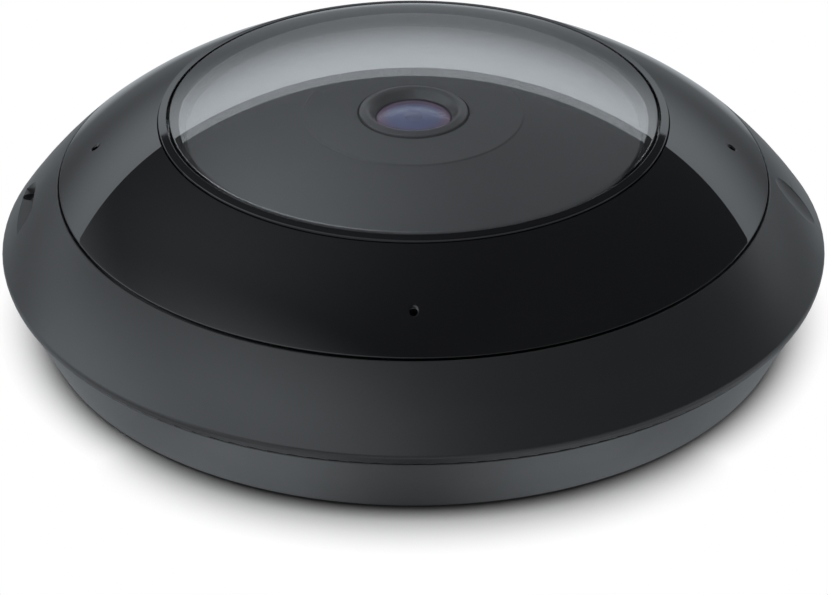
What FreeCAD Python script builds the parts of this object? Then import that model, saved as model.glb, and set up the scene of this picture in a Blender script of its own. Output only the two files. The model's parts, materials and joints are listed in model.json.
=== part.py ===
"""Round fisheye network camera on a twist-on mounting plate, standing with its dome upwards.

Millimetres, +Z up, front towards -Y, origin in the middle of the underside of the mounting plate.
Every curved shell is turned from a section line in the (radius, height) plane.
"""

import FreeCAD
import Part

import math
import os

from FreeCAD import Vector

# Dome and the bezel ring round it
dome_radius = 46.8
dome_rise = 10.1
dome_wall = 4.0
dome_foot_wall = 2.8
dome_proud = 0.1
dome_side_gap = 0.5
dome_flange_width = 3.7
dome_flange_thickness = 2.0
dome_flange_drop = 5.45
dome_gasket_thickness = 1.0
bezel_width = 1.6
bezel_fall = 0.4
bezel_proud = 1.0
bezel_leg_wall = 4.2
bezel_leg_drop = 1.6
bezel_screw_count = 6
bezel_screw_angle = 30.0
bezel_screw_bite = 2.5

# Window, cover and base wall, as steps outwards and downwards
window_side_gap = 0.15
window_width = 19.45
window_rise = 12.55
window_sag = 0.873
window_wall = 2.0
seam_gap = 0.2
cover_width = 11.5
cover_rise = 13.5
cover_sag = 0.5
cover_wall = 2.2
cover_rim_thickness = 2.0
lip_height = 1.6
lip_draft = 0.45
ledge_width = 2.2
ledge_wall = 2.0
parting_gap = 0.45
base_setback = 1.0
base_taper = 6.9
base_wall = 2.95
base_upstand = 2.85
foot_gap = 0.3
floor_gap = 2.1
floor_thickness = 2.5

# Small roundings of the outer edges
seam_round = 0.25
rim_round = 0.5
lip_round = 0.3
base_round = 0.35
bezel_round = 0.2
dome_round = 0.3

# Clearances
slide_gap = 0.05
free_gap = 0.3
trim_gap = 0.1
glue_gap = 0.1
cut_margin = 1.0

# Mounting plate and bayonet
plate_thickness = 2.5
plate_side_gap = 2.65
cable_hole_radius = 24.0
cable_collar_wall = 2.0
cable_collar_height = 5.0
plate_rib_gap = 0.8
plate_rib_wall = 1.6
plate_rib_height = 4.2
plate_web_count = 8
plate_web_angle = 22.5
screw_circle_radius = 50.0
screw_hole_radius = 2.3
screw_hole_count = 4
screw_hole_angle = 45.0
slot_spacing = 83.5
slot_length = 9.0
slot_half_width = 2.3
bayonet_count = 3
tab_angle = 26.0
tab_wall = 2.0
tab_lip_reach = 5.6
tab_lip_thickness = 1.4
stop_angle = 2.0
lug_angle = 24.0
lug_lift = 0.5
lug_thickness = 1.7
lug_web_wall = 2.5
lug_web_inset = 1.15
bayonet_side_gap = 1.2
bayonet_web_gap = 0.9

# Seal groove of the base and tongue of the cover
gasket_edge = 0.9
gasket_groove_width = 1.2
gasket_groove_depth = 0.8
gasket_side_gap = 0.05
tongue_inset = 1.05
tongue_wall = 1.1
tongue_depth = 1.9

# Cover bosses, notch and blank dimple
boss_inset = 1.95
boss_radius = 3.5
boss_angles = (40.0, 140.0, 220.0, 320.0)
notch_depth = 6.3
notch_half_length = 9.75
notch_middle_y = 1.25
notch_ledge_rise = 4.3
notch_corner_radius = 5.0
notch_pad_margin = 2.5
notch_pad_wall = 4.2
dimple_half_length = 6.7
dimple_half_width = 4.0
dimple_depth = 0.6

# Lock screw in the notch
lock_screw_radius = 1.25
lock_screw_tip_radius = 0.65
lock_screw_tip_length = 1.2
lock_screw_slope = 33.0
lock_screw_y = 7.0
lock_screw_recess = 0.9
lock_socket_radius = 0.73
lock_socket_depth = 1.4
lock_pad_reach = 9.6
lock_pad_half_width = 4.5
lock_pad_drop = 3.0

# Sound holes, light board and what it carries
sound_hole_radius = 0.65
sound_hole_round = 0.45
sound_hole_count = 4
ir_board_gap = 0.6
ir_board_drop = 4.2
ir_board_thickness = 1.2
ir_led_count = 8
ir_led_angle = 22.5
ir_led_inset = 3.0
ir_led_side = 3.45
ir_led_body = 1.2
ir_led_lens_radius = 1.4
microphone_length = 3.8
microphone_width = 3.0
microphone_height = 1.0
boot_radius = 1.9
sensor_chip_side = 3.2
sensor_chip_height = 1.1
sensor_lens_radius = 1.0
light_sensor_angle = 100.0

# Chassis
chassis_ring_thickness = 3.4
chassis_leg_radius = 4.0
chassis_leg_angles = (45.0, 135.0, 225.0, 315.0)
chassis_arm_width = 8.0
chassis_arm_inset = 1.0
chassis_arm_thickness = 2.0
chassis_pad_height = 1.5
chassis_pad_radius = 5.0

# Liner
liner_wall = 1.4
liner_hole_gap = 0.35
liner_disc_drop = 0.3
liner_disc_radius = 21.0
liner_step = 0.25
liner_step_width = 0.25
liner_fall = 3.45
liner_edge_round = 0.5

# Lens and image sensor
barrel_radius = 8.0
barrel_wall = 2.0
lens_glass_inset = 0.65
lens_glass_drop = 1.3
lens_glass_rise = 1.6
lens_glass_thickness = 1.2
collar_seat_width = 1.1
collar_seat_rim = 0.15
collar_width = 1.95
collar_proud = 0.1
collar_chamfer = 0.4
collar_mouth_round = 0.3
collar_foot_gap = 1.0
rear_glass_inset = 0.5
rear_glass_lift = 1.0
rear_glass_thickness = 2.4
rear_glass_bulge = 0.6
holder_tube_wall = 2.0
holder_height = 6.3
holder_side = 22.0
holder_foot_thickness = 2.9
holder_corner = 1.5
lock_ring_thickness = 1.0
lock_ring_width = 2.2
lock_ring_notches = 12
filter_side = 10.0
filter_thickness = 0.5
image_sensor_length = 11.0
image_sensor_width = 9.5
image_sensor_thickness = 1.4
image_sensor_frame = 1.0
light_way_margin = 0.5

# Boards and what is soldered to them
main_board_inset = 0.2
board_lift = 11.4
board_thickness = 1.6
board_side_gap = 1.0
standoff_count = 4
standoff_inset = 5.5
standoff_radius = 3.5
sensor_board_gap = 2.5
sensor_board_thickness = 1.2
sensor_board_corner = 2.0
sensor_board_margin = 3.0
sensor_screw_gap = 1.0
spacer_radius = 2.4
jack_length = 16.0
jack_width = 13.8
jack_mouth_recess = 0.5
jack_socket_length = 11.8
jack_socket_width = 6.8
jack_socket_depth = 10.5
jack_latch_width = 4.6
jack_latch_length = 3.0
jack_corner = 0.6
jack_gasket_wall = 1.4
jack_gasket_lip = 1.5
jack_gasket_lip_thickness = 1.0
processor_inset = 1.0
processor_thickness = 1.8
processor_lid_margin = 1.6
thermal_pad_thickness = 1.0
heat_sink_side_gap = 1.5
heat_sink_jack_gap = 4.1
heat_sink_corner = 1.0
heat_sink_foot = 2.0
heat_sink_fins = 5
heat_sink_slot = 1.8
transformer_side_gap = 5.5
transformer_length = 12.0
transformer_width = 16.0
transformer_height = 5.0
transformer_corner = 0.8
button_side_gap = 3.65
button_radius = 1.6
button_flange_radius = 2.5
button_flange_thickness = 1.0
button_guide_wall = 1.4
button_guide_height = 4.0
button_recess = 0.5
button_travel = 0.5
button_air = 0.1
switch_side = 6.0
switch_height = 3.0
switch_knob_radius = 1.5
switch_knob_height = 0.5
ribbon_angle = 22.5
ribbon_width = 10.0
ribbon_thickness = 0.3
ribbon_start_inset = 7.0
ribbon_bend_inset = 2.5
ribbon_reach = 2.9
ribbon_flat = 2.0

# Screws: shank radius, head radius and head height
m3_screw = (1.2, 2.8, 1.8)
m25_screw = (1.0, 2.2, 1.4)
m2_screw = (0.8, 1.8, 1.2)
head_round_share = 0.4
recess_radius_share = 0.45
recess_depth_share = 0.5
screw_hole_extra = 0.4
pilot_gap = 0.05
pilot_extra_depth = 0.5
head_sink = 1.2
cover_screw_length = 12.0
chassis_screw_length = 12.0
board_screw_length = 7.0
ir_board_screw_length = 2.8

# Radii that follow from the steps above, from the dome outwards
bezel_inner_radius = dome_radius + dome_side_gap
bezel_radius = bezel_inner_radius + bezel_width
window_inner_radius = bezel_radius + window_side_gap
seam_radius = window_inner_radius + window_width
ledge_start_radius = seam_radius - ledge_width
rim_radius = seam_radius + cover_width
base_top_radius = rim_radius - base_setback
base_foot_radius = base_top_radius - base_taper
tongue_radius = base_top_radius - base_wall - tongue_inset
gasket_groove_radius = base_top_radius - gasket_edge - gasket_groove_width
notch_wall_x = rim_radius - notch_depth
notch_pad_x = notch_wall_x - notch_pad_wall
lock_pad_x = base_foot_radius - lock_pad_reach

# Radii under the floor and of the light board
plate_radius = base_foot_radius - base_wall - plate_side_gap
lug_web_radius = base_foot_radius - base_wall - lug_web_inset
tab_lip_radius = lug_web_radius - lug_web_wall - bayonet_web_gap
tab_inner_radius = tab_lip_radius - tab_lip_reach - tab_wall
lug_inner_radius = tab_inner_radius + tab_wall + bayonet_side_gap
plate_rib_radius = tab_inner_radius - plate_rib_gap
boss_circle_radius = base_foot_radius - base_wall - boss_inset
dome_inner_radius = dome_radius - dome_foot_wall
dome_flange_radius = dome_radius + dome_flange_width
bezel_leg_radius = dome_flange_radius + free_gap + bezel_leg_wall
bezel_screw_radius = bezel_leg_radius - bezel_leg_wall / 2
ir_board_inner_radius = bezel_leg_radius + ir_board_gap
ir_board_radius = boss_circle_radius - boss_radius - free_gap
sound_circle_radius = ir_board_radius - free_gap - microphone_length / 2
ir_led_circle_radius = ir_board_inner_radius + ir_led_inset
chassis_arm_radius = ir_board_radius - chassis_arm_inset
liner_radius = dome_inner_radius - free_gap
chassis_inner_radius = liner_radius - liner_wall - free_gap
main_board_radius = liner_radius - main_board_inset
chassis_leg_circle = main_board_radius + board_side_gap + chassis_leg_radius
standoff_circle = main_board_radius - standoff_inset
ribbon_start_radius = main_board_radius - ribbon_start_inset
ribbon_bend_radius = main_board_radius - ribbon_bend_inset
ribbon_end_radius = ir_board_inner_radius + ribbon_reach

# Places on the boards, and radii of the lens
barrel_bore_radius = barrel_radius - barrel_wall
lens_glass_radius = barrel_radius - lens_glass_inset
collar_opening_radius = lens_glass_radius + collar_seat_width
collar_radius = collar_opening_radius + collar_width
rear_glass_radius = barrel_bore_radius - rear_glass_inset
lock_ring_radius = barrel_radius + lock_ring_width
sensor_screw_offset = holder_side / 2 + sensor_screw_gap
sensor_board_side = 2 * (sensor_screw_offset + sensor_board_margin)
standoff_face = standoff_circle - standoff_radius
jack_half_length = jack_length / 2 + jack_gasket_wall + jack_gasket_lip
heat_sink_side = standoff_face - heat_sink_side_gap - heat_sink_jack_gap - jack_half_length
processor_side = heat_sink_side - 2 * processor_inset
processor_x = heat_sink_side_gap + heat_sink_side / 2 - standoff_face
transformer_x = standoff_face - transformer_side_gap - transformer_length / 2
button_guide_radius = button_radius + slide_gap + button_guide_wall
jack_half_width = jack_width / 2 + jack_gasket_wall + jack_gasket_lip
button_y = -(jack_half_width + button_side_gap + button_guide_radius)

# Heights that follow from the steps above, from the plate upwards
lug_height = plate_thickness + lug_lift
tab_lip_height = lug_height + lug_thickness + free_gap
tab_top = tab_lip_height + tab_lip_thickness
floor_height = tab_top + floor_gap
floor_top = floor_height + floor_thickness
base_top_height = floor_top + base_upstand
cover_foot_height = base_top_height + parting_gap
rim_height = cover_foot_height + lip_height
notch_ledge_height = rim_height + notch_ledge_rise
seam_height = rim_height + cover_rise
window_inner_height = seam_height + window_rise
bezel_height = window_inner_height + bezel_proud
dome_edge_height = bezel_height + dome_proud
dome_flange_height = dome_edge_height - dome_flange_drop
dome_flange_foot = dome_flange_height - dome_flange_thickness
chassis_top = dome_flange_foot - dome_gasket_thickness
chassis_foot = chassis_top - chassis_ring_thickness
bezel_leg_height = dome_flange_foot - bezel_leg_drop
chassis_step = bezel_leg_height - slide_gap
ir_board_height = chassis_foot - ir_board_drop
ir_board_top = ir_board_height + ir_board_thickness
main_board_height = floor_top + board_lift
main_board_top = main_board_height + board_thickness
sensor_board_height = main_board_top + sensor_board_gap
sensor_board_top = sensor_board_height + sensor_board_thickness
holder_top_height = sensor_board_top + holder_height
barrel_foot_height = sensor_board_top + holder_foot_thickness
rear_glass_height = barrel_foot_height + rear_glass_lift
collar_foot_height = holder_top_height + lock_ring_thickness + collar_foot_gap
liner_disc_height = dome_edge_height - liner_disc_drop
liner_edge_height = liner_disc_height - liner_fall
collar_height = liner_disc_height + collar_proud
lens_glass_edge_height = collar_height - lens_glass_drop
jack_mouth_height = floor_height + jack_mouth_recess


class Bow:
    """Circular section line of a shell in the (radius, height) plane."""

    def __init__(self, centre_radius, centre_height, radius):
        """Keeps the centre and the radius of the line."""
        self.centre_radius = centre_radius
        self.centre_height = centre_height
        self.radius = radius

    @classmethod
    def through(cls, foot, head, sag):
        """Line from a low outer point to a high inner one that bulges outwards by sag."""
        run = head[0] - foot[0]
        rise = head[1] - foot[1]
        chord = math.hypot(run, rise)
        radius = (chord * chord / 4 + sag * sag) / (2 * sag)
        reach = radius - sag
        centre_radius = (foot[0] + head[0]) / 2 - reach * rise / chord
        centre_height = (foot[1] + head[1]) / 2 + reach * run / chord
        return cls(centre_radius, centre_height, radius)

    @classmethod
    def cap(cls, edge_radius, edge_height, rise):
        """Line of a spherical cap that stands on a circle about the axis."""
        radius = (edge_radius * edge_radius + rise * rise) / (2 * rise)
        return cls(0.0, edge_height + rise - radius, radius)

    def height(self, at_radius, depth=0.0):
        """Height of the line, or of one that lies deeper inside, at a radius."""
        inner = self.radius - depth
        offset = at_radius - self.centre_radius
        return self.centre_height + math.sqrt(inner * inner - offset * offset)

    def point(self, at_radius, depth=0.0):
        """Point of the line, or of one that lies deeper inside, at a radius."""
        return (at_radius, self.height(at_radius, depth))

    def radius_at(self, height, depth=0.0):
        """Radius of the line, or of one that lies deeper inside, at a height."""
        inner = self.radius - depth
        offset = height - self.centre_height
        return self.centre_radius + math.sqrt(inner * inner - offset * offset)

    def below(self, at_radius, depth):
        """Point at a depth straight under the line's point at a radius, square to the line."""
        share = (self.radius - depth) / self.radius
        across = self.centre_radius + (at_radius - self.centre_radius) * share
        up = self.centre_height + (self.height(at_radius) - self.centre_height) * share
        return (across, up)

    def along(self, start, distance):
        """Point at a distance outwards along the line from another of its points."""
        turn = -distance / self.radius
        across = start[0] - self.centre_radius
        up = start[1] - self.centre_height
        return (self.centre_radius + across * math.cos(turn) - up * math.sin(turn),
                self.centre_height + across * math.sin(turn) + up * math.cos(turn))

    def stretch(self, start, end, depth=0.0):
        """Arc step between two points of one line, as its middle and its end."""
        middle = (start[0] + end[0]) / 2
        return (self.point(middle, depth), end)


cover_bow = Bow.through((rim_radius, rim_height), (seam_radius, seam_height), cover_sag)
window_bow = Bow.through((seam_radius, seam_height), (window_inner_radius, window_inner_height), window_sag)
dome_bow = Bow.cap(dome_radius, dome_edge_height, dome_rise)


def towards(start, end, distance):
    """Point at a distance from one point, on the line to another."""
    share = distance / math.dist(start, end)
    return (start[0] + (end[0] - start[0]) * share, start[1] + (end[1] - start[1]) * share)


def rounding(corner, start, end):
    """Arc step that rounds a corner, from a point before it to one as far behind it."""
    share = 1 / (1 + math.dist(start, end) / (2 * math.dist(corner, start)))
    middle = (corner[0] + ((start[0] + end[0]) / 2 - corner[0]) * share,
              corner[1] + ((start[1] + end[1]) / 2 - corner[1]) * share)
    return (middle, end)


def edge_to(start, step):
    """Edge from a point to the next step, which is a point or an arc's middle and end."""
    first = Vector(start[0], 0, start[1])
    if isinstance(step[0], tuple):
        middle, end = step
        arc = Part.Arc(first, Vector(middle[0], 0, middle[1]), Vector(end[0], 0, end[1]))
        return arc.toShape(), end
    return Part.makeLine(first, Vector(step[0], 0, step[1])), step


def turned(start, *steps, sweep=360.0, middle_angle=0.0):
    """Solid turned about Z from a closed section. A part turn is centred on an angle from +X."""
    edges = []
    here = start
    for step in steps:
        edge, here = edge_to(here, step)
        edges.append(edge)
    if here != start:
        edges.append(edge_to(here, start)[0])
    face = Part.Face(Part.Wire(edges))
    solid = face.revolve(Vector(0, 0, 0), Vector(0, 0, 1), sweep)
    if sweep < 360.0:
        solid.rotate(Vector(0, 0, 0), Vector(0, 0, 1), middle_angle - sweep / 2)
    return solid


def ring(inner, outer, low, high, sweep=360.0, middle_angle=0.0):
    """Plain ring, or a piece of one, with upright walls."""
    steps = ((outer, low), (outer, high), (inner, high))
    return turned((inner, low), *steps, sweep=sweep, middle_angle=middle_angle)


def post(x, y, low, high, radius):
    """Upright cylinder between two heights."""
    return Part.makeCylinder(radius, high - low, Vector(x, y, low))


def block(x, y, low, high, length, width):
    """Upright block centred on a point, between two heights."""
    return Part.makeBox(length, width, high - low, Vector(x - length / 2, y - width / 2, low))


def rounded_block(x, y, low, high, length, width, corner):
    """Upright block with rounded upright edges."""
    solid = block(x, y, low, high, length, width)
    return solid.makeFillet(corner, upright_edges(solid))


def upright_edges(solid):
    """Edges of a solid that run along Z."""
    found = []
    for edge in solid.Edges:
        start = edge.Vertexes[0].Point
        end = edge.Vertexes[-1].Point
        if math.hypot(start.x - end.x, start.y - end.y) < 1e-6 and abs(start.z - end.z) > 1e-6:
            found.append(edge)
    return found


def spot(radius, angle):
    """Place on a circle about the axis, at an angle from +X in degrees."""
    turn = math.radians(angle)
    return radius * math.cos(turn), radius * math.sin(turn)


def circle_angles(count, first=0.0):
    """Evenly spaced angles round the axis."""
    return [first + 360.0 * step / count for step in range(count)]


def turned_about_z(solid, angle):
    """Copy of a solid turned about the axis."""
    copy = solid.copy()
    copy.rotate(Vector(0, 0, 0), Vector(0, 0, 1), angle)
    return copy


def joined(solids):
    """One solid fused from several that touch or overlap."""
    first = solids[0]
    return first.fuse(solids[1:]).removeSplitter()


def group(solids):
    """Several separate solids that share one node."""
    return Part.makeCompound(solids)


def screw(x, y, seat, length, sizes, upwards):
    """Screw with a rounded head on a seat height. Its shank points up or down from there."""
    shank_radius, head_radius, head_height = sizes
    way = 1.0 if upwards else -1.0
    direction = Vector(0, 0, way)
    shank = Part.makeCylinder(shank_radius, length, Vector(x, y, seat), direction)
    head = Part.makeCylinder(head_radius, head_height, Vector(x, y, seat), direction * -1)
    crown = max(head.Edges, key=lambda edge: -way * edge.CenterOfMass.z)
    head = head.makeFillet(head_height * head_round_share, [crown])
    recess = Part.makeCylinder(head_radius * recess_radius_share, head_height * recess_depth_share,
                               Vector(x, y, seat - way * head_height), direction)
    return shank.fuse(head).cut(recess)


def base_cone(height):
    """Outer radius of the base wall at a height."""
    share = (height - foot_gap) / (base_top_height - foot_gap)
    return base_foot_radius + (base_top_radius - base_foot_radius) * share


def cover_envelope():
    """Everything under the middle of the cover's wall, for trimming bosses and pads to it."""
    depth = cover_wall / 2
    seat_depth = window_wall + glue_gap + ledge_wall / 2
    foot_radius = cover_bow.radius_at(cover_foot_height, depth)
    head_radius = seam_radius
    head = cover_bow.point(head_radius, depth)
    seat = window_bow.point(head_radius, seat_depth)
    centre = window_bow.point(window_inner_radius, seat_depth)
    foot = (foot_radius, cover_foot_height)
    return turned((0.0, floor_top), (cavity_radius(), floor_top),
                  (cavity_radius(), cover_foot_height),
                  foot, cover_bow.stretch(foot, head, depth), seat,
                  window_bow.stretch(seat, centre, seat_depth), (0.0, centre[1]))


def cavity_radius():
    """Radius that is clear of the base's inner wall above its floor."""
    return base_cone(floor_top) - base_wall - free_gap


def lock_axis():
    """Mouth centre of the lock screw's hole on the notch ledge, and the way the screw backs out."""
    slope = math.radians(lock_screw_slope)
    ledge_outer = math.sqrt(ledge_radius() ** 2 - lock_screw_y ** 2)
    mouth = Vector(-(notch_wall_x + ledge_outer) / 2, lock_screw_y, notch_ledge_height)
    return mouth, Vector(-math.sin(slope), 0, math.cos(slope))


def ledge_radius():
    """Radius of the cover's outer face at the height of the notch ledge."""
    return cover_bow.radius_at(notch_ledge_height)


def lock_bore(radius):
    """Slanted bore for the lock screw, from below the plate to above the notch."""
    mouth, out = lock_axis()
    reach = mouth.z / out.z
    return Part.makeCylinder(radius, 2 * reach, mouth - out * reach, out)


def make_mounting_plate():
    """Plate with cable hole, screw holes, slots, ribs and three bayonet tabs with end stops."""
    pieces = [ring(cable_hole_radius, plate_radius, 0, plate_thickness)]
    cable_collar_radius = cable_hole_radius + cable_collar_wall
    pieces.append(ring(cable_hole_radius, cable_collar_radius, 0, cable_collar_height))
    pieces.append(ring(plate_rib_radius - plate_rib_wall, plate_rib_radius, 0, plate_rib_height))
    web_start = cable_collar_radius - cable_collar_wall / 2
    web_end = plate_rib_radius - plate_rib_wall / 2
    web_length = web_end - web_start
    web_middle = (web_start + web_end) / 2
    for angle in circle_angles(plate_web_count, plate_web_angle):
        web = block(web_middle, 0, 0, plate_rib_height, web_length, plate_rib_wall)
        pieces.append(turned_about_z(web, angle))
    for angle in circle_angles(bayonet_count):
        pieces.append(make_bayonet_tab(angle))
    plate = joined(pieces)
    for angle in circle_angles(screw_hole_count, screw_hole_angle):
        x, y = spot(screw_circle_radius, angle)
        plate = plate.cut(post(x, y, 0, plate_rib_height, screw_hole_radius))
    for side in (-1, 1):
        plate = plate.cut(slot_cutter(side * slot_spacing / 2))
    return plate


def make_bayonet_tab(angle):
    """Upright wall with an outward lip and an end stop, centred on an angle."""
    wall_radius = tab_inner_radius + tab_wall
    lip = turned((tab_inner_radius, plate_thickness / 2), (wall_radius, plate_thickness / 2),
                 (wall_radius, tab_lip_height), (tab_lip_radius, tab_lip_height),
                 (tab_lip_radius, tab_top), (tab_inner_radius, tab_top),
                 sweep=tab_angle, middle_angle=angle)
    stop = ring(tab_inner_radius, tab_lip_radius, plate_thickness / 2, tab_top,
                sweep=stop_angle, middle_angle=angle + (tab_angle + stop_angle) / 2)
    return lip.fuse(stop)


def slot_cutter(x):
    """Cutter for one screw slot that runs along X."""
    half_run = slot_length / 2 - slot_half_width
    top = plate_rib_height + cable_collar_height
    middle = block(x, 0, 0, top, 2 * half_run, 2 * slot_half_width)
    ends = [post(x + end * half_run, 0, 0, top, slot_half_width) for end in (-1, 1)]
    return middle.fuse(ends)


def make_base_housing():
    """Conical wall with a floor, seal groove, board posts, socket opening and bayonet lugs."""
    groove_out = gasket_groove_radius + gasket_groove_width
    groove_floor = base_top_height - gasket_groove_depth
    cavity_foot = base_cone(floor_top) - base_wall
    cavity_head = base_top_radius - base_wall
    recess_head = base_cone(floor_height) - base_wall
    foot = (base_foot_radius, foot_gap)
    top = (base_top_radius, base_top_height)
    foot_start = (base_foot_radius - base_round, foot_gap)
    foot_end = towards(foot, top, base_round)
    top_start = towards(top, foot, base_round)
    top_end = (base_top_radius - base_round, base_top_height)
    shell = turned((0, floor_height), (recess_head, floor_height), (base_foot_radius - base_wall, foot_gap),
                   foot_start, rounding(foot, foot_start, foot_end),
                   top_start, rounding(top, top_start, top_end),
                   (groove_out, base_top_height), (groove_out, groove_floor),
                   (gasket_groove_radius, groove_floor), (gasket_groove_radius, base_top_height),
                   (cavity_head, base_top_height), (cavity_foot, floor_top), (0, floor_top))
    pieces = [shell]
    for angle in circle_angles(standoff_count):
        x, y = spot(standoff_circle, angle)
        pieces.append(post(x, y, floor_height, main_board_height, standoff_radius))
    for angle in chassis_leg_angles:
        x, y = spot(chassis_leg_circle, angle)
        pieces.append(post(x, y, floor_height, floor_top + chassis_pad_height, chassis_pad_radius))
    guide_top = floor_top + button_guide_height
    pieces.append(post(0, button_y, floor_height, guide_top, button_guide_radius))
    for angle in circle_angles(bayonet_count):
        pieces.append(make_bayonet_lug(angle))
    pieces.append(base_lock_pad())
    housing = joined(pieces)
    return housing.cut(base_cutters())


def make_bayonet_lug(angle):
    """Hook under the floor that turns in beneath a tab of the mounting plate."""
    web_inner = lug_web_radius - lug_web_wall
    return turned((lug_inner_radius, lug_height), (lug_web_radius, lug_height),
                  (lug_web_radius, floor_top - floor_thickness / 2),
                  (web_inner, floor_top - floor_thickness / 2),
                  (web_inner, lug_height + lug_thickness), (lug_inner_radius, lug_height + lug_thickness),
                  sweep=lug_angle, middle_angle=angle)


def base_lock_pad():
    """Thick pad inside the base wall that guides the lock screw."""
    low = floor_height - lock_pad_drop
    high = cover_foot_height - tongue_depth - free_gap
    length = base_top_radius - lock_pad_x
    pad = block(-lock_pad_x - length / 2, lock_screw_y, low, high, length, 2 * lock_pad_half_width)
    wall_depth = base_wall / 2
    envelope = turned((0, foot_gap), (base_foot_radius - wall_depth, foot_gap),
                      (base_cone(high) - wall_depth, high), (0, high))
    return pad.common(envelope)


def base_cutters():
    """Holes through the base: socket, button, screws, screw pilots and the lock screw's bore."""
    cutters = [jack_opening()]
    guide_top = floor_top + button_guide_height
    bore_radius = button_radius + slide_gap
    cutters.append(post(0, button_y, floor_height - cut_margin, guide_top + cut_margin, bore_radius))
    pilot_depth = board_screw_length - board_thickness + pilot_extra_depth
    for angle in circle_angles(standoff_count):
        x, y = spot(standoff_circle, angle)
        low = main_board_height - pilot_depth
        cutters.append(post(x, y, low, main_board_height, m25_screw[0] + pilot_gap))
    places = [spot(chassis_leg_circle, angle) for angle in chassis_leg_angles]
    places += [spot(boss_circle_radius, angle) for angle in boss_angles]
    top = floor_top + chassis_pad_height
    for x, y in places:
        cutters.append(post(x, y, floor_height, top, m3_screw[0] + screw_hole_extra))
        cutters.append(post(x, y, floor_height, floor_height + head_sink, m3_screw[1] + trim_gap))
    cutters.append(lock_bore(lock_screw_radius + slide_gap))
    return cutters


def jack_opening():
    """Opening in the floor for the socket with its seal."""
    length = jack_length + 2 * jack_gasket_wall
    width = jack_width + 2 * jack_gasket_wall
    return block(0, 0, floor_height - cut_margin, floor_top + cut_margin, length, width)


def make_body_gasket():
    """Seal in the groove of the base wall that meets the foot of the cover."""
    inner = gasket_groove_radius + gasket_side_gap
    outer = gasket_groove_radius + gasket_groove_width - gasket_side_gap
    return ring(inner, outer, base_top_height - gasket_groove_depth, cover_foot_height)


def make_outer_cover():
    """Moulded ring with a bowed face, rounded rim, sunk window seat, tongue, bosses and notch pad."""
    foot = (rim_radius - lip_draft, cover_foot_height)
    foot_start = (foot[0] - lip_round, cover_foot_height)
    rim = (rim_radius, rim_height)
    foot_end = towards(foot, rim, lip_round)
    rim_start = towards(rim, foot, rim_round)
    rim_end = cover_bow.along(rim, -rim_round)
    head = cover_bow.point(seam_radius + seam_gap)
    head_start = cover_bow.along(head, seam_round)
    seat_depth = window_wall + glue_gap
    seat = window_bow.below(seam_radius + seam_gap, seat_depth)
    head_end = towards(head, seat, seam_round)
    seat_end = window_bow.below(ledge_start_radius, seat_depth)
    ledge_end = window_bow.below(ledge_start_radius, seat_depth + ledge_wall)
    ledge_foot = window_bow.below(seam_radius + seam_gap, seat_depth + ledge_wall)
    inner_head = cover_bow.point(seam_radius + ledge_wall, cover_wall)
    rim_top = cover_foot_height + cover_rim_thickness
    inner_foot = (cover_bow.radius_at(rim_top, cover_wall), rim_top)
    tongue_foot = cover_foot_height - tongue_depth
    shell = turned(foot_start, rounding(foot, foot_start, foot_end), rim_start,
                   rounding(rim, rim_start, rim_end), cover_bow.stretch(rim_end, head_start),
                   rounding(head, head_start, head_end), seat,
                   window_bow.stretch(seat, seat_end, seat_depth), ledge_end,
                   window_bow.stretch(ledge_end, ledge_foot, seat_depth + ledge_wall), inner_head,
                   cover_bow.stretch(inner_head, inner_foot, cover_wall),
                   (tongue_radius - tongue_wall, rim_top), (tongue_radius - tongue_wall, tongue_foot),
                   (tongue_radius, tongue_foot), (tongue_radius, cover_foot_height))
    envelope = cover_envelope()
    pieces = [shell]
    for angle in boss_angles:
        x, y = spot(boss_circle_radius, angle)
        pieces.append(post(x, y, floor_top, seam_height, boss_radius).common(envelope))
    pieces.append(notch_pad().common(envelope))
    cover = joined(pieces)
    cutters = [notch_cutter(), lock_bore(lock_screw_radius + slide_gap), dimple_cutter()]
    for angle in boss_angles:
        x, y = spot(boss_circle_radius, angle)
        cutters.append(post(x, y, floor_top, floor_top + cover_screw_length, m3_screw[0] + pilot_gap))
    return cover.cut(cutters)


def notch_pad():
    """Thick pad behind the notch, which closes the cover again where the notch is cut."""
    length = rim_radius - notch_pad_x
    width = 2 * (notch_half_length + notch_pad_margin)
    return block(-notch_pad_x - length / 2, notch_middle_y, cover_foot_height, seam_height, length, width)


def notch_cutter():
    """Cutter for the notch: open upwards, with an upright wall, round ends and a flat ledge."""
    length = 2 * rim_radius - 2 * notch_wall_x
    width = 2 * notch_half_length
    cutter = block(-rim_radius, notch_middle_y, notch_ledge_height, seam_height, length, width)
    corners = [edge for edge in upright_edges(cutter) if edge.BoundBox.XMax > -notch_wall_x - trim_gap]
    return cutter.makeFillet(notch_corner_radius, corners)


def dimple_cutter():
    """Cutter for a shallow blank oval dimple in the middle of the cover's right flank."""
    middle = (rim_radius + seam_radius) / 2
    slope = math.atan2(cover_bow.height(middle) - cover_bow.centre_height, middle - cover_bow.centre_radius)
    stretch = FreeCAD.Matrix()
    stretch.scale(dimple_depth, dimple_half_width, dimple_half_length)
    cutter = Part.makeSphere(1.0).transformGeometry(stretch)
    cutter.rotate(Vector(0, 0, 0), Vector(0, 1, 0), -math.degrees(slope))
    cutter.translate(Vector(middle, 0, cover_bow.height(middle)))
    return cutter


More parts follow.
